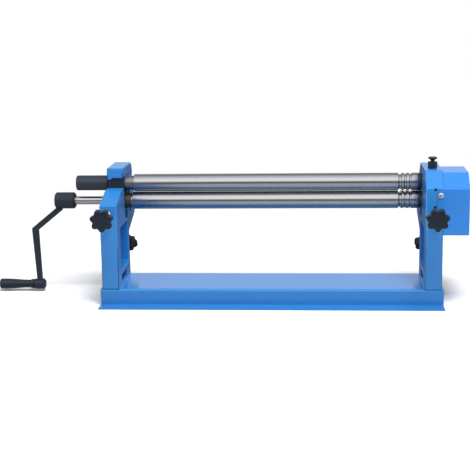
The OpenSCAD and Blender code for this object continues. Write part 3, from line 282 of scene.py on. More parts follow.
SURFACES: dict[Finish, Surface] = {
    Finish.CAST_PAINT: Surface((0.016, 0.192, 0.535), 0.36, coat=0.3, grain=CAST_SKIN),
    Finish.SHEET_PAINT: Surface((0.026, 0.20, 0.53), 0.17, grain=SHEET_SKIN),
    Finish.COVER_PAINT: Surface((0.015, 0.188, 0.61), 0.3, coat=0.2, grain=SHEET_SKIN),
    Finish.GROUND_STEEL: Surface(
        (0.42, 0.425, 0.44), 0.28, 1.0, grain=GRIND_LINES, wear=0.03, ground=0.9
    ),
    Finish.ZINC: Surface((0.62, 0.65, 0.68), 0.3, 1.0, grain=PLATING, wear=0.06),
    Finish.GEAR_STEEL: Surface((0.22, 0.235, 0.26), 0.4, 1.0, grain=PLATING, wear=0.06),
    Finish.BLACK_STEEL: Surface((0.011, 0.016, 0.025), 0.36, grain=PLATING, sheen=0.4),
    Finish.BLACK_IRON: Surface((0.013, 0.020, 0.032), 0.45, grain=CAST_SKIN, sheen=0.3),
    Finish.RUBBER: Surface((0.016, 0.024, 0.038), 0.42, grain=MOULD_SKIN, sheen=0.45),
    Finish.PLASTIC: Surface((0.007, 0.013, 0.024), 0.27, grain=MOULD_SKIN, sheen=0.35),
    Finish.BRONZE: Surface((0.15, 0.10, 0.07), 0.5, 1.0, grain=PLATING, wear=0.05),
}


class PaintShop:
    """Makes each finish's material once and hands it out."""

    def __init__(self) -> None:
        """Starts with no material made."""
        self._made: dict[Finish, bpy.types.Material] = {}

    def material(self, finish: Finish) -> bpy.types.Material:
        """Gives the material of a finish.

        Args:
            finish: the finish that is wanted.

        Returns:
            Its material, made on the first call.
        """
        if finish not in self._made:
            self._made[finish] = SURFACES[finish].material(finish.value)
        return self._made[finish]


SHOP = PaintShop()


def link(name: str, mesh: bpy.types.Mesh) -> bpy.types.Object:
    """Puts a mesh into the scene as an object at the origin.

    Args:
        name: name of the object.
        mesh: its mesh, in the row's frame.

    Returns:
        The new object.
    """
    obj = bpy.data.objects.new(name, mesh)
    bpy.context.scene.collection.objects.link(obj)
    return obj


def settle(obj: bpy.types.Object) -> None:
    """Turns an object's live modifiers into a plain mesh.

    Args:
        obj: the object, whose modifiers are removed.
    """
    bpy.context.view_layer.update()
    graph = bpy.context.evaluated_depsgraph_get()
    mesh = bpy.data.meshes.new_from_object(obj.evaluated_get(graph), depsgraph=graph)
    obj.modifiers.clear()
    obj.data = mesh
    mesh.name = obj.name


def fit(obj: bpy.types.Object, body: str, finish: Finish, *nodes: str) -> bpy.types.Object:
    """Paints a finished piece and lets it ride on its body in place of its solids.

    Args:
        obj: the piece, at the origin and unturned.
        body: the body that carries it.
        finish: its finish.
        nodes: the solids that it stands for.

    Returns:
        The same piece.
    """
    obj.data.materials.clear()
    obj.data.materials.append(SHOP.material(finish))
    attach(obj, body)
    if nodes:
        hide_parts(*nodes)
    LOG.info("%s rides on %s in %s", obj.name, body, finish.value)
    return obj


def show_solids(finish: Finish, *nodes: str) -> None:
    """Paints solids that are shown as they are.

    Args:
        finish: their finish.
        nodes: names of the solids.
    """
    for node in nodes:
        obj = frame["nodes"][node]
        obj.data.materials.clear()
        obj.data.materials.append(SHOP.material(finish))
        LOG.info("%s shows its own solid in %s", node, finish.value)


def eased_skin(
    node: str, ease: float, steps: int = 3, shortest: float = 0.0
) -> bpy.types.Object:
    """Copies a solid with its sharp edges rounded.

    Args:
        node: name of the solid.
        ease: width of the rounding, in metres.
        steps: faces across the rounding.
        shortest: in a casting, the length under which an edge stays sharp, so that small
            holes don't hold the rounding of the others back.

    Returns:
        The new object, smooth and with no modifier left.
    """
    mesh = frame["nodes"][node].data.copy()
    sheet = bmesh.new()
    sheet.from_mesh(mesh)
    bmesh.ops.remove_doubles(sheet, verts=sheet.verts, dist=WELD)
    bmesh.ops.dissolve_limit(
        sheet, angle_limit=FLAT_ANGLE, verts=sheet.verts, edges=sheet.edges
    )
    weight = sheet.edges.layers.float.new("bevel_weight_edge")
    for edge in sheet.edges:
        turn = edge.calc_face_angle(0.0)
        edge[weight] = float(turn > SHARP_ANGLE and edge.calc_length() > shortest)
    sheet.to_mesh(mesh)
    sheet.free()
    mesh.shade_smooth()
    obj = link(f"{node}_skin", mesh)
    rounding = obj.modifiers.new("rounding", "BEVEL")
    rounding.width = ease
    rounding.segments = steps
    rounding.limit_method = "WEIGHT"
    rounding.use_clamp_overlap = shortest == 0
    rounding.miter_outer = "MITER_ARC"
    even = obj.modifiers.new("even_shading", "WEIGHTED_NORMAL")
    even.keep_sharp = True
    settle(obj)
    return obj


def dress(
    node: str, body: str, finish: Finish, ease: float, steps: int = 2, shortest: float = 0.0
) -> bpy.types.Object:
    """Puts a rounded and painted copy in the place of a solid, as eased_skin and fit do."""
    return fit(eased_skin(node, ease, steps, shortest), body, finish, node)


def turning_axis(node: str) -> Point2:
    """Gives the (y, z) of the middle of a solid that is turned about X."""
    low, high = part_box(node)
    return (low.y + high.y) / 2, (low.z + high.z) / 2


def rounded_rim(x: float, radius: float, ease: float, steps: int) -> list[Point2]:
    """Gives the rounded rim of a turned part's left end.

    Args:
        x: place of the end.
        radius: radius of the part.
        ease: radius of the rounding.
        steps: faces across it.

    Returns:
        (x, radius) points from left to right.
    """
    rim = []
    for step in range(steps + 1):
        turn = math.pi / 2 * step / steps
        rim.append((x + ease * (1 - math.cos(turn)), radius - ease * (1 - math.sin(turn))))
    return rim


def smooth(mesh: bpy.types.Mesh) -> None:
    """Shades a mesh smooth, with a crease wherever it turns sharply."""
    mesh.shade_smooth()
    mesh.set_sharp_from_angle(angle=SHARP_ANGLE)


def lathe(name: str, profile: list[Point2], axis: Point2, sides: int = 96) -> bpy.types.Object:
    """Turns a profile about an axis that runs along X.

    Args:
        name: name of the object.
        profile: (x, radius) points in metres, from one end to the other.
        axis: (y, z) of the axis.
        sides: faces round the axis.

    Returns:
        The turned object, closed at both ends.
    """
    shape = bmesh.new()
    rings: list[list[bmesh.types.BMVert]] = []
    for x, radius in profile:
        if radius <= 0:
            rings.append([shape.verts.new((x, axis[0], axis[1]))])
            continue
        ring = []
        for side in range(sides):
            turn = FULL_TURN * side / sides
            y = axis[0] + radius * math.cos(turn)
            z = axis[1] + radius * math.sin(turn)
            ring.append(shape.verts.new((x, y, z)))
        rings.append(ring)
    for one, two in zip(rings, rings[1:]):
        for side in range(sides):
            after = (side + 1) % sides
            if len(one) == 1:
                shape.faces.new((one[0], two[after], two[side]))
            elif len(two) == 1:
                shape.faces.new((one[side], one[after], two[0]))
            else:
                shape.faces.new((one[side], one[after], two[after], two[side]))
    bmesh.ops.recalc_face_normals(shape, faces=shape.faces)
    mesh = bpy.data.meshes.new(name)
    shape.to_mesh(mesh)
    shape.free()
    smooth(mesh)
    return link(name, mesh)


class GrowthTree(Wiring):
    """A Geometry Nodes tree under construction."""

    def __init__(self, name: str, *sizes: str) -> None:
        """Makes the empty tree with its output and its named inputs.

        Args:
            name: name of the tree.
            sizes: names of the inputs that are plain numbers.
        """
        super().__init__(bpy.data.node_groups.new(name, "GeometryNodeTree"))
        self.group.interface.new_socket(
            "Geometry", in_out="OUTPUT", socket_type="NodeSocketGeometry"
        )
        self.entry = self.add("NodeGroupInput")
        self.sockets: dict[str, str] = {}
        for size in sizes:
            self.size(size)
        self.size("Material", "NodeSocketMaterial")

    def size(self, name: str, kind: str = "NodeSocketFloat") -> None:
        """Adds a named input of a kind."""
        made = self.group.interface.new_socket(name, in_out="INPUT", socket_type=kind)
        self.sockets[name] = made.identifier

    def value(self, name: str) -> bpy.types.NodeSocket:
        """Gives a named input's socket inside the tree."""
        return self.entry.outputs[name]

    def close(self, geometry: bpy.types.NodeSocket) -> None:
        """Ends the tree with real and painted geometry.

        Args:
            geometry: what the tree has made.
        """
        real = self.add("GeometryNodeRealizeInstances", Geometry=geometry)
        paint = self.add(
            "GeometryNodeSetMaterial",
            Geometry=real.outputs["Geometry"],
            Material=self.value("Material"),
        )
        self.add("NodeGroupOutput", Geometry=paint.outputs["Geometry"])

    def grow(self, name: str, place: Matrix, sizes: dict[str, object]) -> bpy.types.Object:
        """Runs the tree once and keeps the result as a plain mesh.

        Args:
            name: name of the new object.
            place: where the tree's own Z axis and origin go in the row's frame.
            sizes: values for the named inputs.

        Returns:
            The new object, at the origin, with its place in its mesh.
        """
        obj = link(name, bpy.data.meshes.new(name))
        modifier = obj.modifiers.new("growth", "NODES")
        modifier.node_group = self.group
        for key, what in sizes.items():
            modifier[self.sockets[key]] = what
        settle(obj)
        obj.data.transform(place)
        smooth(obj.data)
        return obj


def wrapped_grid(tree: GrowthTree, around: object, along: object) -> tuple[
    bpy.types.Node, bpy.types.NodeSocket, bpy.types.NodeSocket
]:
    """Adds a grid that is to be wrapped round the Z axis.

    Args:
        tree: the tree that it goes into.
        around: points round the axis.
        along: points along it.

    Returns:
        The grid node, the angle round the axis, and the share along it from 0 to 1.
    """
    grid = tree.add(
        "GeometryNodeMeshGrid", Size_X=1.0, Size_Y=1.0, Vertices_X=around, Vertices_Y=along
    )
    place = tree.add("GeometryNodeInputPosition")
    parts = tree.add("ShaderNodeSeparateXYZ", Vector=place.outputs["Position"])
    round_share = tree.math("ADD", parts.outputs["X"], 0.5)
    angle = tree.math("MULTIPLY", round_share, FULL_TURN)
    share = tree.math("ADD", parts.outputs["Y"], 0.5)
    return grid, angle, share


def wrap(
    tree: GrowthTree,
    grid: bpy.types.Node,
    angle: bpy.types.NodeSocket,
    radius: bpy.types.NodeSocket,
    height: bpy.types.NodeSocket,
) -> bpy.types.NodeSocket:
    """Moves the grid's points onto the turned surface and closes its seam and poles.

    Args:
        tree: the tree.
        grid: the grid node.
        angle: angle of each point.
        radius: distance of each point from the axis.
        height: place of each point along it.

    Returns:
        The closed surface.
    """
    x = tree.math("MULTIPLY", radius, tree.math("COSINE", angle))
    y = tree.math("MULTIPLY", radius, tree.math("SINE", angle))
    spot = tree.add("ShaderNodeCombineXYZ", X=x, Y=y, Z=height)
    moved = tree.add(
        "GeometryNodeSetPosition", Geometry=grid.outputs["Mesh"], Position=spot.outputs["Vector"]
    )
    merged = tree.add(
        "GeometryNodeMergeByDistance", Geometry=moved.outputs["Geometry"], Distance=SEAM_WELD
    )
    return merged.outputs["Geometry"]


def thread_tree() -> GrowthTree:
    """Builds the tree of a threaded bar along Z.

    Returns:
        The tree, with inputs Length, Radius, Pitch, Depth, Rows and Material.
    """
    sides, crest_width, end = 25, 1.2, 0.0005
    tree = GrowthTree("threaded_bar", "Length", "Radius", "Pitch", "Depth")
    tree.size("Rows", "NodeSocketInt")
    grid, angle, share = wrapped_grid(tree, sides, tree.value("Rows"))
    height = tree.math("MULTIPLY", share, tree.value("Length"))
    turns = tree.math("DIVIDE", height, tree.value("Pitch"))
    phase = tree.math("SUBTRACT", turns, tree.math("DIVIDE", angle, FULL_TURN))
    wave = tree.math("PINGPONG", phase, 0.5)
    ridge = tree.math("MULTIPLY", wave, 2.0)
    crest = tree.math("MINIMUM", tree.math("MULTIPLY", ridge, crest_width), 1.0)
    sunk = tree.math("MULTIPLY", tree.math("SUBTRACT", 1.0, crest), tree.value("Depth"))
    full = tree.math("SUBTRACT", tree.value("Radius"), sunk)
    inside = tree.math("MULTIPLY", tree.math("GREATER_THAN", share, end),
                       tree.math("LESS_THAN", share, 1 - end))
    radius = tree.math("MULTIPLY", full, inside)
    tree.close(wrap(tree, grid, angle, radius, height))
    return tree


def star_tree() -> GrowthTree:
    """Builds the tree of a star knob's head, with its back at z = 0.

    Returns:
        The tree, with inputs Radius, Lobe Height, Thickness, Lobes, Squareness and Material.
    """
    sides, rows, flank = 169, 41, 3.0
    tree = GrowthTree("star_head", "Radius", "Lobe Height", "Thickness", "Lobes", "Squareness")
    grid, angle, share = wrapped_grid(tree, sides, rows)
    tilt = tree.math("MULTIPLY", tree.math("SUBTRACT", share, 0.5), math.pi)
    rise = tree.math("SINE", tilt)
    reach = tree.math("MAXIMUM", tree.math("COSINE", tilt), 0.0)
    steep = tree.math("POWER", tree.math("ABSOLUTE", rise), tree.value("Squareness"))
    high = tree.math("MULTIPLY", tree.math("SIGN", rise), steep)
    wide = tree.math("POWER", reach, tree.value("Squareness"))
    turns = tree.math("MULTIPLY", angle, tree.value("Lobes"))
    arch = tree.math("ABSOLUTE", tree.math("COSINE", tree.math("MULTIPLY", turns, 0.5)))
    broad = tree.math("MULTIPLY_ADD", arch, 2.0, -1.0)
    wave = tree.math("MULTIPLY", tree.math("ADD", tree.math("COSINE", turns), broad), 0.5)
    lobe = tree.math("MULTIPLY", wave, tree.value("Lobe Height"))
    spread = tree.math("MULTIPLY", lobe, tree.math("POWER", wide, flank))
    middle = tree.math("SUBTRACT", tree.value("Radius"), tree.value("Lobe Height"))
    radius = tree.math("MULTIPLY", wide, tree.math("ADD", middle, spread))
    half = tree.math("MULTIPLY", tree.value("Thickness"), 0.5)
    height = tree.math("MULTIPLY", tree.math("ADD", high, 1.0), half)
    tree.close(wrap(tree, grid, angle, radius, height))
    return tree


def spring_tree() -> GrowthTree:
    """Builds the tree of a coil spring that stands on z = 0.

    Returns:
        The tree, with inputs Turns, Coil Radius, Height, Wire Radius and Material.
    """
    steps, sides = 28, 10
    tree = GrowthTree("coil_spring", "Turns", "Coil Radius", "Height", "Wire Radius")
    coil = tree.add(
        "GeometryNodeCurveSpiral",
        Resolution=steps,
        Rotations=tree.value("Turns"),
        Start_Radius=tree.value("Coil Radius"),
        End_Radius=tree.value("Coil Radius"),
        Height=tree.value("Height"),
    )
    wire = tree.add(
        "GeometryNodeCurvePrimitiveCircle", Resolution=sides, Radius=tree.value("Wire Radius")
    )
    tube = tree.add(
        "GeometryNodeCurveToMesh",
        Curve=coil.outputs["Curve"],
        Profile_Curve=wire.outputs["Curve"],
        Fill_Caps=True,
    )
    tree.close(tube.outputs["Mesh"])
    return tree


def toward(start: Vector, direction: Vector) -> Matrix:
    """Gives the place of a part that is drawn along Z.

    Args:
        start: where its origin goes.
        direction: where its Z axis points.

    Returns:
        The matrix of the place.
    """
    return Matrix.Translation(start) @ direction.to_track_quat("Z", "Y").to_matrix().to_4x4()


@dataclass
class FoldedBase:
    """The folded channel with its foot flanges, and what bolts the frames to it.

    Attributes:
        sheet_ease: rounding of the sheet's cut edges.
        bolt_ease: rounding of the bolt heads.
    """

    sheet_ease: float = 0.4 * MM
    bolt_ease: float = 0.5 * MM

    def build(self) -> None:
        """Makes the channel, the bolts and the washers."""
        dress("base_channel", "frame", Finish.SHEET_PAINT, self.sheet_ease)
        dress("frame_bolts", "frame", Finish.ZINC, self.bolt_ease)
        show_solids(Finish.ZINC, "frame_washers")


@dataclass
class CastFrames:
    """The two cast columns with their heads.

    Attributes:
        ease: rounding of the castings' edges.
        shortest: length under which an edge isn't rounded.
    """

    ease: float = 1.3 * MM
    shortest: float = 0.8 * MM

    def build(self) -> None:
        """Makes both castings."""
        for node in ("left_frame", "right_frame"):
            dress(node, "frame", Finish.CAST_PAINT, self.ease, 3, self.shortest)


@dataclass
class GearEnd:
    """The sheet cover, its screws and the two gears behind it.

    Attributes:
        bend: outside rounding of the sheet's folds.
        screw_ease: rounding of the screw heads.
        seam: width of the band beside the frame where the cover's cut edges take black, as painted
            shade of the gap between cover and frame.
        facing: the X of a cut edge's normal, at most.
    """

    bend: float = 0.7 * MM
    screw_ease: float = 0.25 * MM
    seam: float = 1.0 * MM
    facing: float = -0.25

    def paint_seam_shade(self, cover: bpy.types.Object) -> None:
        """Paints the cover's cut edges beside the frame black, as painted shade of the dark gap
        there.

        Args:
            cover: the finished cover.
        """
        frame_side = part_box("right_frame")[1].x
        # Painted shade: cut edges that face the frame, within the band, take black to draw the
        # shaded gap between cover and frame.
        cover.data.materials.append(SHOP.material(Finish.BLACK_STEEL))
        for face in cover.data.polygons:
            if face.normal.x < self.facing and face.center.x < frame_side + self.seam:
                face.material_index = 1

    def build(self) -> None:
        """Makes the cover and its screws, and paints the gears."""
        self.paint_seam_shade(dress("gear_cover", "frame", Finish.COVER_PAINT, self.bend))
        dress("cover_screws", "frame", Finish.ZINC, self.screw_ease)
        show_solids(Finish.GEAR_STEEL, "upper_gear", "lower_gear")
        show_solids(Finish.GROUND_STEEL, "upper_gear_key", "lower_gear_key")
        show_solids(Finish.BLACK_STEEL, "upper_circlip", "lower_circlip")


@dataclass
class QuickRelease:
    """The swinging cap over the upper roll's left bearing.

    Attributes:
        cap_ease: rounding of the cap's edges.
        cap_shortest: length under which an edge of it isn't rounded.
        block_ease: rounding of the bearing block's edges.
    """

    cap_ease: float = 2.8 * MM
    cap_shortest: float = 0.8 * MM
    block_ease: float = 0.6 * MM

    def build(self) -> None:
        """Makes the cap, its pin and the block below it."""
        dress("release_cap", "cap", Finish.CAST_PAINT, self.cap_ease, 4, self.cap_shortest)
        show_solids(Finish.GROUND_STEEL, "cap_hinge_pin")
        dress("upper_left_block", "upper_bearings", Finish.BLACK_IRON, self.block_ease)


@dataclass
class WireGroove:
    """One groove for wire in a roll.

    Attributes:
        middle: place of its middle along the roll.
        wire: diameter of the wire.
    """

    middle: float
    wire: float

    def points(self, roll: float, gap: float, steps: int = 8) -> list[Point2]:
        """Gives the groove's arc.

        Args:
            roll: radius of the roll.
            gap: gap between the rolls, shared by both grooves.
            steps: faces across the arc.

        Returns:
            (x, radius) points in order of rising x.
        """
        centre = roll + gap / 2
        radius = self.wire / 2
        half = math.acos((centre - roll) / radius)
        arc = []
        for step in range(steps + 1):
            turn = -half + 2 * half * step / steps
            arc.append((self.middle + radius * math.sin(turn), centre - radius * math.cos(turn)))
        return arc


@dataclass
class RollSet:
    """The three ground rolls, with their collars and the black grip.

    Attributes:
        chamfer: rounding of a roll's ends.
        gap: gap between the front rolls.
        wires: diameters of the wires that the grooves take.
        groove_pitch: distance between grooves.
        groove_end: distance of the last groove from the right end.
        upper_gap: distance from the left frame to the upper roll.
        lower_gap: distance from the left frame to the other rolls.
        swell: how far a roll is rounder than its faceted solid.
        journal: radius of the plain journals.
        core: radius of the stub inside the grip.
        big_journal: radius of the upper roll in its left bearing.
        shoulder: radius of the upper roll beside it.
        neck: radius of the other rolls beside the frames.
        end_ease: chamfer of the shafts' ends.
        collar_gap: distance from the rolls to the collars.
        step: distance from the steps of the front rolls' journals to the frames' faces.
        inset: distance of the rear roll's steps, and of the upper journal in its roll.
        collar_ease: rounding of the collars.
    """

    chamfer: float = 1.5 * MM
    gap: float = 1.0 * MM
    wires: tuple[float, float, float] = (8 * MM, 6 * MM, 6 * MM)
    groove_pitch: float = 11 * MM
    groove_end: float = 17 * MM
    upper_gap: float = 20 * MM
    lower_gap: float = 16 * MM
    swell: float = 0.08 * MM
    journal: float = 9 * MM
    core: float = 10 * MM
    big_journal: float = 12.5 * MM
    shoulder: float = 15.5 * MM
    neck: float = 13 * MM
    end_ease: float = 1 * MM
    collar_gap: float = 0.2 * MM
    step: float = 0.5 * MM
    inset: float = 1 * MM
    collar_ease: float = 0.5 * MM

    def barrel(self, start: float, end: float, radius: float) -> list[Point2]:
        """Gives the working part of a roll with its grooves.

        Args:
            start: place of its left end.
            end: place of its right end.
            radius: its radius.

        Returns:
            (x, radius) points from left to right.
        """
        points = [
            (start, radius - self.chamfer),
            (start + self.chamfer / 3, radius - self.chamfer / 3),
            (start + self.chamfer, radius),
        ]
        last = len(self.wires) - 1
        for place, wire in enumerate(self.wires):
            middle = end - self.groove_end - (last - place) * self.groove_pitch
            points += WireGroove(middle, wire).points(radius, self.gap)
        return points + [
            (end - self.chamfer, radius),
            (end - self.chamfer / 3, radius - self.chamfer / 3),
            (end, radius - self.chamfer),
        ]

    def turned(self, node: str, left: list[Point2], right: list[Point2], body: str) -> None:
        """Lathes a roll and puts it in place of its solid.

        Args:
            node: the roll's solid.
            left: journal points from the shaft's left end to the barrel, where they end.
            right: journal points from the barrel, where they start, to the shaft's right end.
            body: the body that carries it.
        """
        low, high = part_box(node)
        radius = (high.z - low.z) / 2 + self.swell
        profile = left + self.barrel(left[-1][0], right[0][0], radius) + right
        piece = lathe(f"{node}_turned", profile, turning_axis(node), sides=128)
        fit(piece, body, Finish.GROUND_STEEL, node)

    def shaft_end(self, x: float, radius: float, inward: int) -> list[Point2]:
        """Gives a shaft's end with a small chamfer.

        Args:
            x: place of the end.
            radius: radius of the shaft.
            inward: +1 at a left end, or -1 at a right one.

        Returns:
            Its points in order of rising x.
        """
        ease = self.end_ease
        points = [(x, 0.0), (x, radius - ease), (x + inward * ease, radius)]
        return points if inward > 0 else points[::-1]

    def build(self) -> None:
        """Makes the three rolls, the collars and the grip."""
        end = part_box("upper_collar")[0].x - self.collar_gap
        frame_out, frame_in = (point.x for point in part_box("left_frame"))
        upper_start = frame_in + self.upper_gap
        start = frame_in + self.lower_gap
        upper = [point.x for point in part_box("upper_roll")]
        lower = [point.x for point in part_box("lower_roll")]
        rear = [point.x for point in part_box("rear_roll")]
        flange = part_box("lower_left_bush")[1].x
        out_step, in_step = frame_out - self.step, frame_in + self.step
        root = upper_start + self.inset
        journal = lathe(
            "upper_roll_journal",
            self.shaft_end(upper[0], self.core, 1)
            + [(out_step, self.core), (out_step, self.big_journal),
               (in_step, self.big_journal), (in_step, self.shoulder),
               (root, self.shoulder), (root, 0.0)],
            turning_axis("upper_roll"),
        )
        fit(journal, "upper_roll_set", Finish.GEAR_STEEL)
        self.turned(
            "upper_roll",
            [(upper_start, 0.0)],
            [(end, self.journal)] + self.shaft_end(upper[1], self.journal, -1),
            "upper_roll_set",
        )
        self.turned(
            "lower_roll",
            self.shaft_end(lower[0], self.journal, 1)
            + [(flange + self.step, self.journal), (flange + self.step, self.neck),
               (start, self.neck)],
            [(end, self.journal)] + self.shaft_end(lower[1], self.journal, -1),
            "lower_roll_set",
        )
        side = -frame_in - self.inset
        self.turned(
            "rear_roll",
            self.shaft_end(rear[0], self.journal, 1)
            + [(-side, self.journal), (-side, self.neck), (start, self.neck)],
            [(end, self.neck), (side, self.neck), (side, self.journal)]
            + self.shaft_end(rear[1], self.journal, -1),
            "rear_roll_set",
        )
        for row in ("upper", "lower"):
            dress(f"{row}_collar", f"{row}_roll_set", Finish.BLACK_STEEL, self.collar_ease)
        self.grip()

    def grip(self) -> None:
        """Makes the black grip on the upper roll's left end."""
        low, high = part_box("upper_roll_grip")
        radius = (high.z - low.z) / 2
        ease, lip, slack, depth = 3 * MM, 0.6 * MM, 0.2 * MM, 2 * MM
        bore = self.core + slack
        profile = [(low.x, 0.0)] + rounded_rim(low.x, radius, ease, 6)
        profile += [(high.x - lip, radius), (high.x, radius - lip), (high.x, bore),
                    (high.x - depth, bore), (high.x - depth, 0.0)]
        piece = lathe("upper_roll_grip_turned", profile, turning_axis("upper_roll_grip"), 64)
        fit(piece, "upper_roll_set", Finish.RUBBER, "upper_roll_grip")


@dataclass
class Bearings:
    """The sliding blocks, bushes and the spherical bearing.

    Attributes:
        block_ease: rounding of the sliding blocks.
    """

    block_ease: float = 0.5 * MM

    def build(self) -> None:
        """Makes the blocks and paints the bushes and rings."""
        for node in ("lower_left_block", "lower_right_block"):
            dress(node, "lower_bearings", Finish.BLACK_IRON, self.block_ease)
        for node in ("lower_left_bush", "lower_right_bush"):
            dress(node, "lower_bearings", Finish.BRONZE, self.block_ease)
        for node in ("left_rear_bush", "right_rear_bush"):
            dress(node, "rear_bearings", Finish.BRONZE, self.block_ease)
        show_solids(Finish.GROUND_STEEL, "upper_right_ball", "left_wedge_pin", "right_wedge_pin")
        show_solids(Finish.ZINC, "upper_right_race")
        show_solids(Finish.BLACK_STEEL, "race_locating_rod")


@dataclass
class Crank:
    """The hand crank: hub, bent arm, boss and turning grip.

    Attributes:
        ease: rounding of the arm and the hub.
        spindle_ease: rounding of the spindle.
        waist: radius of the grip beside its inner end.
        round_end: rounding of the grip's outer end.
        hollow: radius of the hollow in that end.
        depth: depth of the hollow.
        bore: radius of the grip's bore.
        swell: distance from the outer end to where the grip starts to thin.
        thinned: distance from the inner end to where it is thinnest.
        bead: height of the bead at the inner end.
        bead_length: length of the bead.
    """

    ease: float = 2.4 * MM
    spindle_ease: float = 0.4 * MM
    waist: float = 9 * MM
    round_end: float = 4 * MM
    hollow: float = 6.9 * MM
    depth: float = 8 * MM
    bore: float = 4.05 * MM
    swell: float = 14 * MM
    thinned: float = 13 * MM
    bead: float = 1.5 * MM
    bead_length: float = 9 * MM

    def build(self) -> None:
        """Makes the crank's pieces."""
        dress("crank_arm", "lower_roll_set", Finish.BLACK_IRON, self.ease, 4)
        show_solids(Finish.BLACK_STEEL, "crank_set_screw")
        dress("crank_spindle", "lower_roll_set", Finish.ZINC, self.spindle_ease)
        self.grip()

    def grip(self) -> None:
        """Makes the turning grip with its swelling outer end and hollow for the screw."""
        low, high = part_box("crank_grip")
        radius = (high.z - low.z) / 2
        bottom = low.x + self.depth
        profile = [(bottom, self.bore), (bottom, self.hollow), (low.x, self.hollow)]
        profile += rounded_rim(low.x, radius, self.round_end, 5)
        first, last = low.x + self.swell, high.x - self.thinned
        rows = 16
        for row in range(rows + 1):
            share = row / rows
            blend = 0.5 + 0.5 * math.cos(math.pi * share)
            x = first + (last - first) * share
            profile.append((x, self.waist + (radius - self.waist) * blend))
        top = self.waist + self.bead
        start = high.x - self.bead_length
        profile += [(start, self.waist), (start + self.bead, top), (high.x - self.bead, top),
                    (high.x, self.waist), (high.x, self.bore)]
        piece = lathe("crank_grip_turned", profile, turning_axis("crank_grip"), 72)
        self.close_bore(piece)
        fit(piece, "grip", Finish.PLASTIC, "crank_grip")

    def close_bore(self, piece: bpy.types.Object) -> None:
        """Joins the two open rims of the lathed grip with the wall of its bore."""
        shape = bmesh.new()
        shape.from_mesh(piece.data)
        rims = [edge for edge in shape.edges if edge.is_boundary]
        bmesh.ops.bridge_loops(shape, edges=rims)
        bmesh.ops.recalc_face_normals(shape, faces=shape.faces)
        shape.to_mesh(piece.data)
        shape.free()
        smooth(piece.data)


@dataclass
class StarKnob:
    """A moulded star knob.

    Attributes:
        radius: reach of its lobes.
        lobe_height: half the depth between the lobes.
        thickness: thickness of its head.
        lobes: number of lobes.
        squareness: how fast its edge turns, from 0, square, to 1, round.
        neck: length of its neck.
        neck_radius: radius of its neck.
        sunk: share of the head's thickness that the neck reaches into.
        ease: rounding of the neck.
    """

    radius: float = 24.4 * MM
    lobe_height: float = 2.9 * MM
    thickness: float = 18 * MM
    lobes: float = 7.0
    squareness: float = 0.28
    neck: float = 10 * MM
    neck_radius: float = 11 * MM
    sunk: float = 0.3
    ease: float = 1 * MM

    def build(self, tree: GrowthTree, node: str, body: str, place: Matrix) -> None:
        """Makes one knob in place of its solid.

        Args:
            tree: the tree of the star heads.
            node: the knob's solid.
            body: the body that carries it.
            place: where its neck starts, and which way it points.
        """
        head = tree.grow(
            f"{node}_moulded",
            place @ Matrix.Translation((0, 0, self.neck)),
            {
                "Radius": self.radius,
                "Lobe Height": self.lobe_height,
                "Thickness": self.thickness,
                "Lobes": self.lobes,
                "Squareness": self.squareness,
                "Material": SHOP.material(Finish.PLASTIC),
            },
        )
        root = self.neck + self.thickness * self.sunk
        radius = self.neck_radius
        profile = [(0.0, 0.0), (0.0, radius - self.ease), (self.ease, radius),
                   (self.neck, radius), (root, radius + self.ease), (root, 0.0)]
        neck = lathe(f"{node}_neck", profile, (0.0, 0.0), 48)
        neck.data.transform(place @ Matrix.Rotation(-math.pi / 2, 4, "Y"))
        join(head, neck)
        fit(head, body, Finish.PLASTIC, node)


def join(first: bpy.types.Object, *others: bpy.types.Object) -> None:
    """Adds other pieces' meshes to the first one's and removes them.

    Args:
        first: the piece that stays.
        others: the pieces that go into it.
    """
    whole = bmesh.new()
    whole.from_mesh(first.data)
    for other in others:
        whole.from_mesh(other.data)
        bpy.data.objects.remove(other)
    bmesh.ops.recalc_face_normals(whole, faces=whole.faces)
    whole.to_mesh(first.data)
    whole.free()
    smooth(first.data)


class Side(Enum):
    """An end of the machine, and the sign of its X."""

    LEFT = -1
    RIGHT = 1


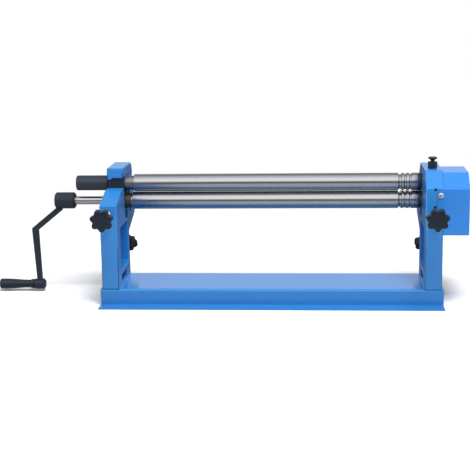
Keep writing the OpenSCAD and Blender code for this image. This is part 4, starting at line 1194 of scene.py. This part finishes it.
@dataclass
class Adjuster:
    """A threaded screw with a star knob on its end.

    Attributes:
        side: the end of the machine.
        row: "front" or "rear".
        pitch: pitch of the thread.
        depth: depth of the thread.
        radius: outside radius of the thread.
        nose: radius of the plain nose.
        nose_length: length of the nose.
        nose_ease: rounding of the nose.
        rows_per_turn: rows of faces in one turn of the thread.
    """

    side: Side
    row: str
    pitch: float = 1.75 * MM
    depth: float = 0.95 * MM
    radius: float = 6 * MM
    nose: float = 3.5 * MM
    nose_length: float = 7.5 * MM
    nose_ease: float = 0.8 * MM
    rows_per_turn: int = 6

    def axis(self) -> Vector:
        """Gives the way that the screw points, from its nose to its knob."""
        if self.row == "front":
            return Vector((0, -1, 0))
        joint = next(j for j in frame["joints"] if j["name"] == "rear_lift")
        return -Vector(joint["axis"])

    def span(self, node: str) -> tuple[Vector, float]:
        """Measures a solid along the screw's axis.

        Args:
            node: name of the solid.

        Returns:
            The point on the axis where it starts, and its length.
        """
        along = self.axis()
        screw = f"{self.side.name.lower()}_{self.row}_screw"
        sideways = Vector((1, 0, 0))
        places = [spot.co.dot(along) for spot in frame["nodes"][node].data.vertices]
        start = along * min(places)
        for way in (sideways, along.cross(sideways)):
            reach = [spot.co.dot(way) for spot in frame["nodes"][screw].data.vertices]
            start += way * (min(reach) + max(reach)) / 2
        return start, max(places) - min(places)

    def lobe_turn(self, knob: str, place: Matrix) -> float:
        """Measures how far a knob's lobe is turned about its axis.

        Args:
            knob: the knob's solid.
            place: where the knob starts, and which way it points.

        Returns:
            The turn of its farthest point, in radians.
        """
        back = place.inverted()
        spots = [back @ vertex.co for vertex in frame["nodes"][knob].data.vertices]
        far = max(spots, key=lambda spot: spot.x * spot.x + spot.y * spot.y)
        return math.atan2(far.y, far.x)

    def build(self, threads: GrowthTree, stars: GrowthTree) -> None:
        """Makes the screw and its knob.

        Args:
            threads: the tree of the threaded bars.
            stars: the tree of the star heads.
        """
        side = self.side.name.lower()
        screw = f"{side}_{self.row}_screw"
        knob = f"{side}_{self.row}_knob"
        body = f"{side}_{self.row}_adjuster"
        along = self.axis()
        start, length = self.span(screw)
        thread_length = length - self.nose_length
        bar = threads.grow(
            f"{screw}_threaded",
            toward(start + along * self.nose_length, along),
            {
                "Length": thread_length,
                "Radius": self.radius,
                "Pitch": self.pitch,
                "Depth": self.depth,
                "Rows": int(thread_length / self.pitch * self.rows_per_turn),
                "Material": SHOP.material(Finish.ZINC),
            },
        )
        ease = self.nose_ease
        end = self.nose_length + ease
        profile = [(0.0, 0.0), (0.0, self.nose - ease), (ease, self.nose), (end, self.nose),
                   (end, 0.0)]
        nose = lathe(f"{screw}_nose", profile, (0.0, 0.0), 24)
        nose.data.transform(toward(start, along) @ Matrix.Rotation(-math.pi / 2, 4, "Y"))
        join(bar, nose)
        fit(bar, body, Finish.ZINC, screw)
        seat, _ = self.span(knob)
        place = toward(seat, along)
        turn = Matrix.Rotation(self.lobe_turn(knob, place), 4, "Z")
        StarKnob().build(stars, knob, body, place @ turn)


@dataclass
class Plunger:
    """The spring plunger on the right frame's top.

    Attributes:
        hex_ease: rounding of the hexagons.
        knob_ease: rounding of its knob.
        turns: turns of its spring.
        wire: radius of the spring's wire.
        travel: how far the plunger is pulled; not used.
    """

    hex_ease: float = 0.6 * MM
    knob_ease: float = 0.5 * MM
    turns: float = 6.0
    wire: float = 0.4 * MM
    travel: float = 6.0 * MM

    def build(self) -> None:
        """Makes the body, nut, knob and spring."""
        dress("plunger_body", "frame", Finish.BLACK_STEEL, self.hex_ease)
        dress("plunger_locknut", "frame", Finish.BLACK_STEEL, self.hex_ease)
        dress("plunger_knob", "plunger", Finish.PLASTIC, self.knob_ease)
        show_solids(Finish.GROUND_STEEL, "plunger_pin")
        low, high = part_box("plunger_spring")
        middle = (low + high) / 2
        coil = (high.x - low.x) / 2 - self.wire
        spring = spring_tree().grow(
            "plunger_spring_coil",
            Matrix.Translation((middle.x, middle.y, low.z + self.wire)),
            {
                "Turns": self.turns,
                "Coil Radius": coil,
                "Height": high.z - low.z - 2 * self.wire,
                "Wire Radius": self.wire,
                "Material": SHOP.material(Finish.GROUND_STEEL),
            },
        )
        fit(spring, "plunger", Finish.GROUND_STEEL, "plunger_spring")
        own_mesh(spring)


@dataclass
class PhotoCamera:
    """The camera, fitted to the photograph.

    Attributes:
        place: where it stands.
        focal_pixels: focal length in pixels of the photograph.
        pitch: how far it looks down, in degrees.
        yaw: how far it looks to the left, in degrees.
        roll: its roll, in degrees.
        offset: the picture's middle against the optical axis, in pixels.
        sensor: width of the sensor, in millimetres.
        clip: the nearest and the farthest that it sees, in metres.
    """

    place: tuple[float, float, float] = (0.113, -2.416, 0.638)
    focal_pixels: float = 1146.5
    pitch: float = 11.655
    yaw: float = 4.489
    roll: float = -0.96
    offset: Point2 = (0.9, -0.2)
    sensor: float = 36.0
    clip: Point2 = (0.05, 60.0)

    def build(self) -> None:
        """Makes the camera and gives it to the scene."""
        pitch, yaw, roll = (math.radians(a) for a in (self.pitch, self.yaw, self.roll))
        ahead = Vector((
            -math.sin(yaw) * math.cos(pitch),
            math.cos(yaw) * math.cos(pitch),
            -math.sin(pitch),
        ))
        right = ahead.cross(Vector((0, 0, 1))).normalized()
        above = right.cross(ahead)
        right_rolled = math.cos(roll) * right + math.sin(roll) * above
        above_rolled = -math.sin(roll) * right + math.cos(roll) * above
        turn = Matrix((right_rolled, above_rolled, -ahead)).transposed()
        data = bpy.data.cameras.new("photo_camera")
        data.sensor_width = self.sensor
        data.lens = self.focal_pixels / IMAGE_SIDE * self.sensor
        data.shift_x = -self.offset[0] / IMAGE_SIDE
        data.shift_y = self.offset[1] / IMAGE_SIDE
        data.clip_start, data.clip_end = self.clip
        camera = bpy.data.objects.new("photo_camera", data)
        camera.matrix_world = Matrix.Translation(self.place) @ turn.to_4x4()
        bpy.context.scene.collection.objects.link(camera)
        bpy.context.scene.camera = camera


@dataclass
class Studio:
    """A plain pale floor and soft light.

    Attributes:
        ambient: strength of the light from all round.
        key_watts: power of the large lamp at the front.
        key_place: where that lamp stands.
        key_aim: where it points.
        key_size: side of that lamp.
        floor_colour: colour of the floor, as it lights the machine.
        floor_seen: colour of the floor, as the camera sees it.
        floor_reach: radius of the floor.
        floor_drop: how far it lies under the feet, so that they don't touch it.
        fade: distances between which the floor turns to the plain background.
        shine: what polished metal sees round the X axis: degrees from the front horizon
            upwards, and how bright it is there.
        shine_level: brightness of the brightest of it.
        floor_shine: the glow that polished metal alone sees on the floor, a painted reflection:
            places
        along Y, and how bright it is there.
    """

    ambient: float = 0.5
    key_watts: float = 138.0
    key_place: tuple[float, float, float] = (0.45, -1.33, 3.22)
    key_aim: tuple[float, float, float] = (0.0, 0.0, 0.15)
    key_size: float = 1.6
    floor_colour: float = 0.72
    floor_seen: float = 0.97
    floor_reach: float = 9.0
    floor_drop: float = 0.02 * MM
    fade: Point2 = (0.75, 1.5)
    shine: tuple[Point2, ...] = (
        (-180.0, 0.3), (-90.0, 0.3), (-6.0, 0.1), (11.0, 0.1), (18.0, 0.7), (30.0, 0.98),
        (55.0, 1.0), (66.0, 0.8), (85.0, 0.64), (100.0, 0.46), (115.0, 0.24), (150.0, 0.2),
        (158.0, 0.42), (180.0, 0.46),
    )
    shine_level: float = 1.75
    floor_shine: tuple[Point2, ...] = (
        (-4.0, 0.16), (-1.6, 0.16), (-1.1, 0.72), (-0.1, 0.72), (0.3, 0.14), (2.0, 0.14),
    )

    def build(self) -> None:
        """Makes the world, the lamp and the floor."""
        self.world()
        self.lamp()
        self.floor()
        bpy.context.scene.view_settings.view_transform = "Standard"

    def world(self) -> None:
        """Lights the object from all round, before a white background."""
        world = bpy.data.worlds.new("studio")
        bpy.context.scene.world = world
        world.use_nodes = True
        world.node_tree.nodes.clear()
        wiring = Wiring(world.node_tree)
        rays = wiring.add("ShaderNodeLightPath").outputs
        place = wiring.add("ShaderNodeTexCoord").outputs["Generated"]
        parts = wiring.add("ShaderNodeSeparateXYZ", Vector=place).outputs
        front = wiring.math("MULTIPLY", parts["Y"], -1.0)
        angle = wiring.math("DEGREES", wiring.math("ARCTAN2", parts["Z"], front))
        shine = wiring.grey_ramp(angle, self.shine)
        cards = wiring.add("ShaderNodeBackground", Color=shine, Strength=self.shine_level)
        light = wiring.add("ShaderNodeBackground", Color=WHITE, Strength=self.ambient)
        white = wiring.add("ShaderNodeBackground", Color=WHITE, Strength=1.0)
        lit = wiring.mix(rays["Is Glossy Ray"], light, cards)
        seen = wiring.mix(rays["Is Camera Ray"], lit, white)
        wiring.add("ShaderNodeOutputWorld", Surface=seen.outputs["Shader"])

    def lamp(self) -> None:
        """Makes the large soft lamp, which polished metal doesn't show."""
        data = bpy.data.lights.new("front_lamp", "AREA")
        data.shape = "SQUARE"
        data.size = self.key_size
        data.energy = self.key_watts
        lamp = bpy.data.objects.new("front_lamp", data)
        place = Vector(self.key_place)
        turn = (Vector(self.key_aim) - place).to_track_quat("-Z", "Y")
        lamp.matrix_world = Matrix.Translation(place) @ turn.to_matrix().to_4x4()
        lamp.visible_glossy = False
        lamp.visible_camera = False
        bpy.context.scene.collection.objects.link(lamp)

    def floor(self) -> None:
        """Makes the floor, which keeps the object's shadow, fades into the background, and glows
        in a grey band for polished metal as a painted reflection.
        """
        shape = bmesh.new()
        bmesh.ops.create_circle(shape, cap_ends=True, radius=self.floor_reach, segments=96)
        mesh = bpy.data.meshes.new("floor")
        shape.to_mesh(mesh)
        shape.free()
        floor = link("floor", mesh)
        floor.location.z = -self.floor_drop
        material = bpy.data.materials.new("pale_floor")
        material.use_nodes = True
        material.node_tree.nodes.clear()
        wiring = Wiring(material.node_tree)
        rays = wiring.add("ShaderNodeLightPath").outputs
        place = wiring.add("ShaderNodeTexCoord").outputs["Object"]
        far = wiring.add("ShaderNodeVectorMath", Vector=place)
        far.operation = "LENGTH"
        fade = wiring.add("ShaderNodeMapRange", Value=far.outputs["Value"],
                          From_Min=self.fade[0], From_Max=self.fade[1])
        fade.interpolation_type = "SMOOTHSTEP"
        level = wiring.add("ShaderNodeMapRange", Value=rays["Is Camera Ray"],
                           To_Min=self.floor_colour, To_Max=self.floor_seen)
        matt = wiring.add("ShaderNodeBsdfDiffuse", Color=level.outputs["Result"])
        plain = wiring.add("ShaderNodeEmission", Color=WHITE)
        parts = wiring.add("ShaderNodeSeparateXYZ", Vector=place)
        # Painted reflection: for glossy rays the floor glows, brighter in a band along Y, although
        # it is no lamp.
        shine = wiring.grey_ramp(parts.outputs["Y"], self.floor_shine)
        grey = wiring.add("ShaderNodeEmission", Color=shine)
        seen = wiring.mix(fade.outputs["Result"], matt, plain)
        whole = wiring.mix(rays["Is Glossy Ray"], seen, grey)
        wiring.add("ShaderNodeOutputMaterial", Surface=whole.outputs["Shader"])
        mesh.materials.append(material)


def main() -> None:
    """Builds the machine's looks in order, then the studio and the camera."""
    logging.basicConfig(level=logging.INFO, format="%(name)s: %(message)s")
    FoldedBase().build()
    CastFrames().build()
    GearEnd().build()
    QuickRelease().build()
    RollSet().build()
    Bearings().build()
    Crank().build()
    threads = thread_tree()
    stars = star_tree()
    for row in ("front", "rear"):
        for side in Side:
            Adjuster(side, row).build(threads, stars)
    Plunger().build()
    Studio().build()
    PhotoCamera().build()


if __name__ == "__main__":
    main()
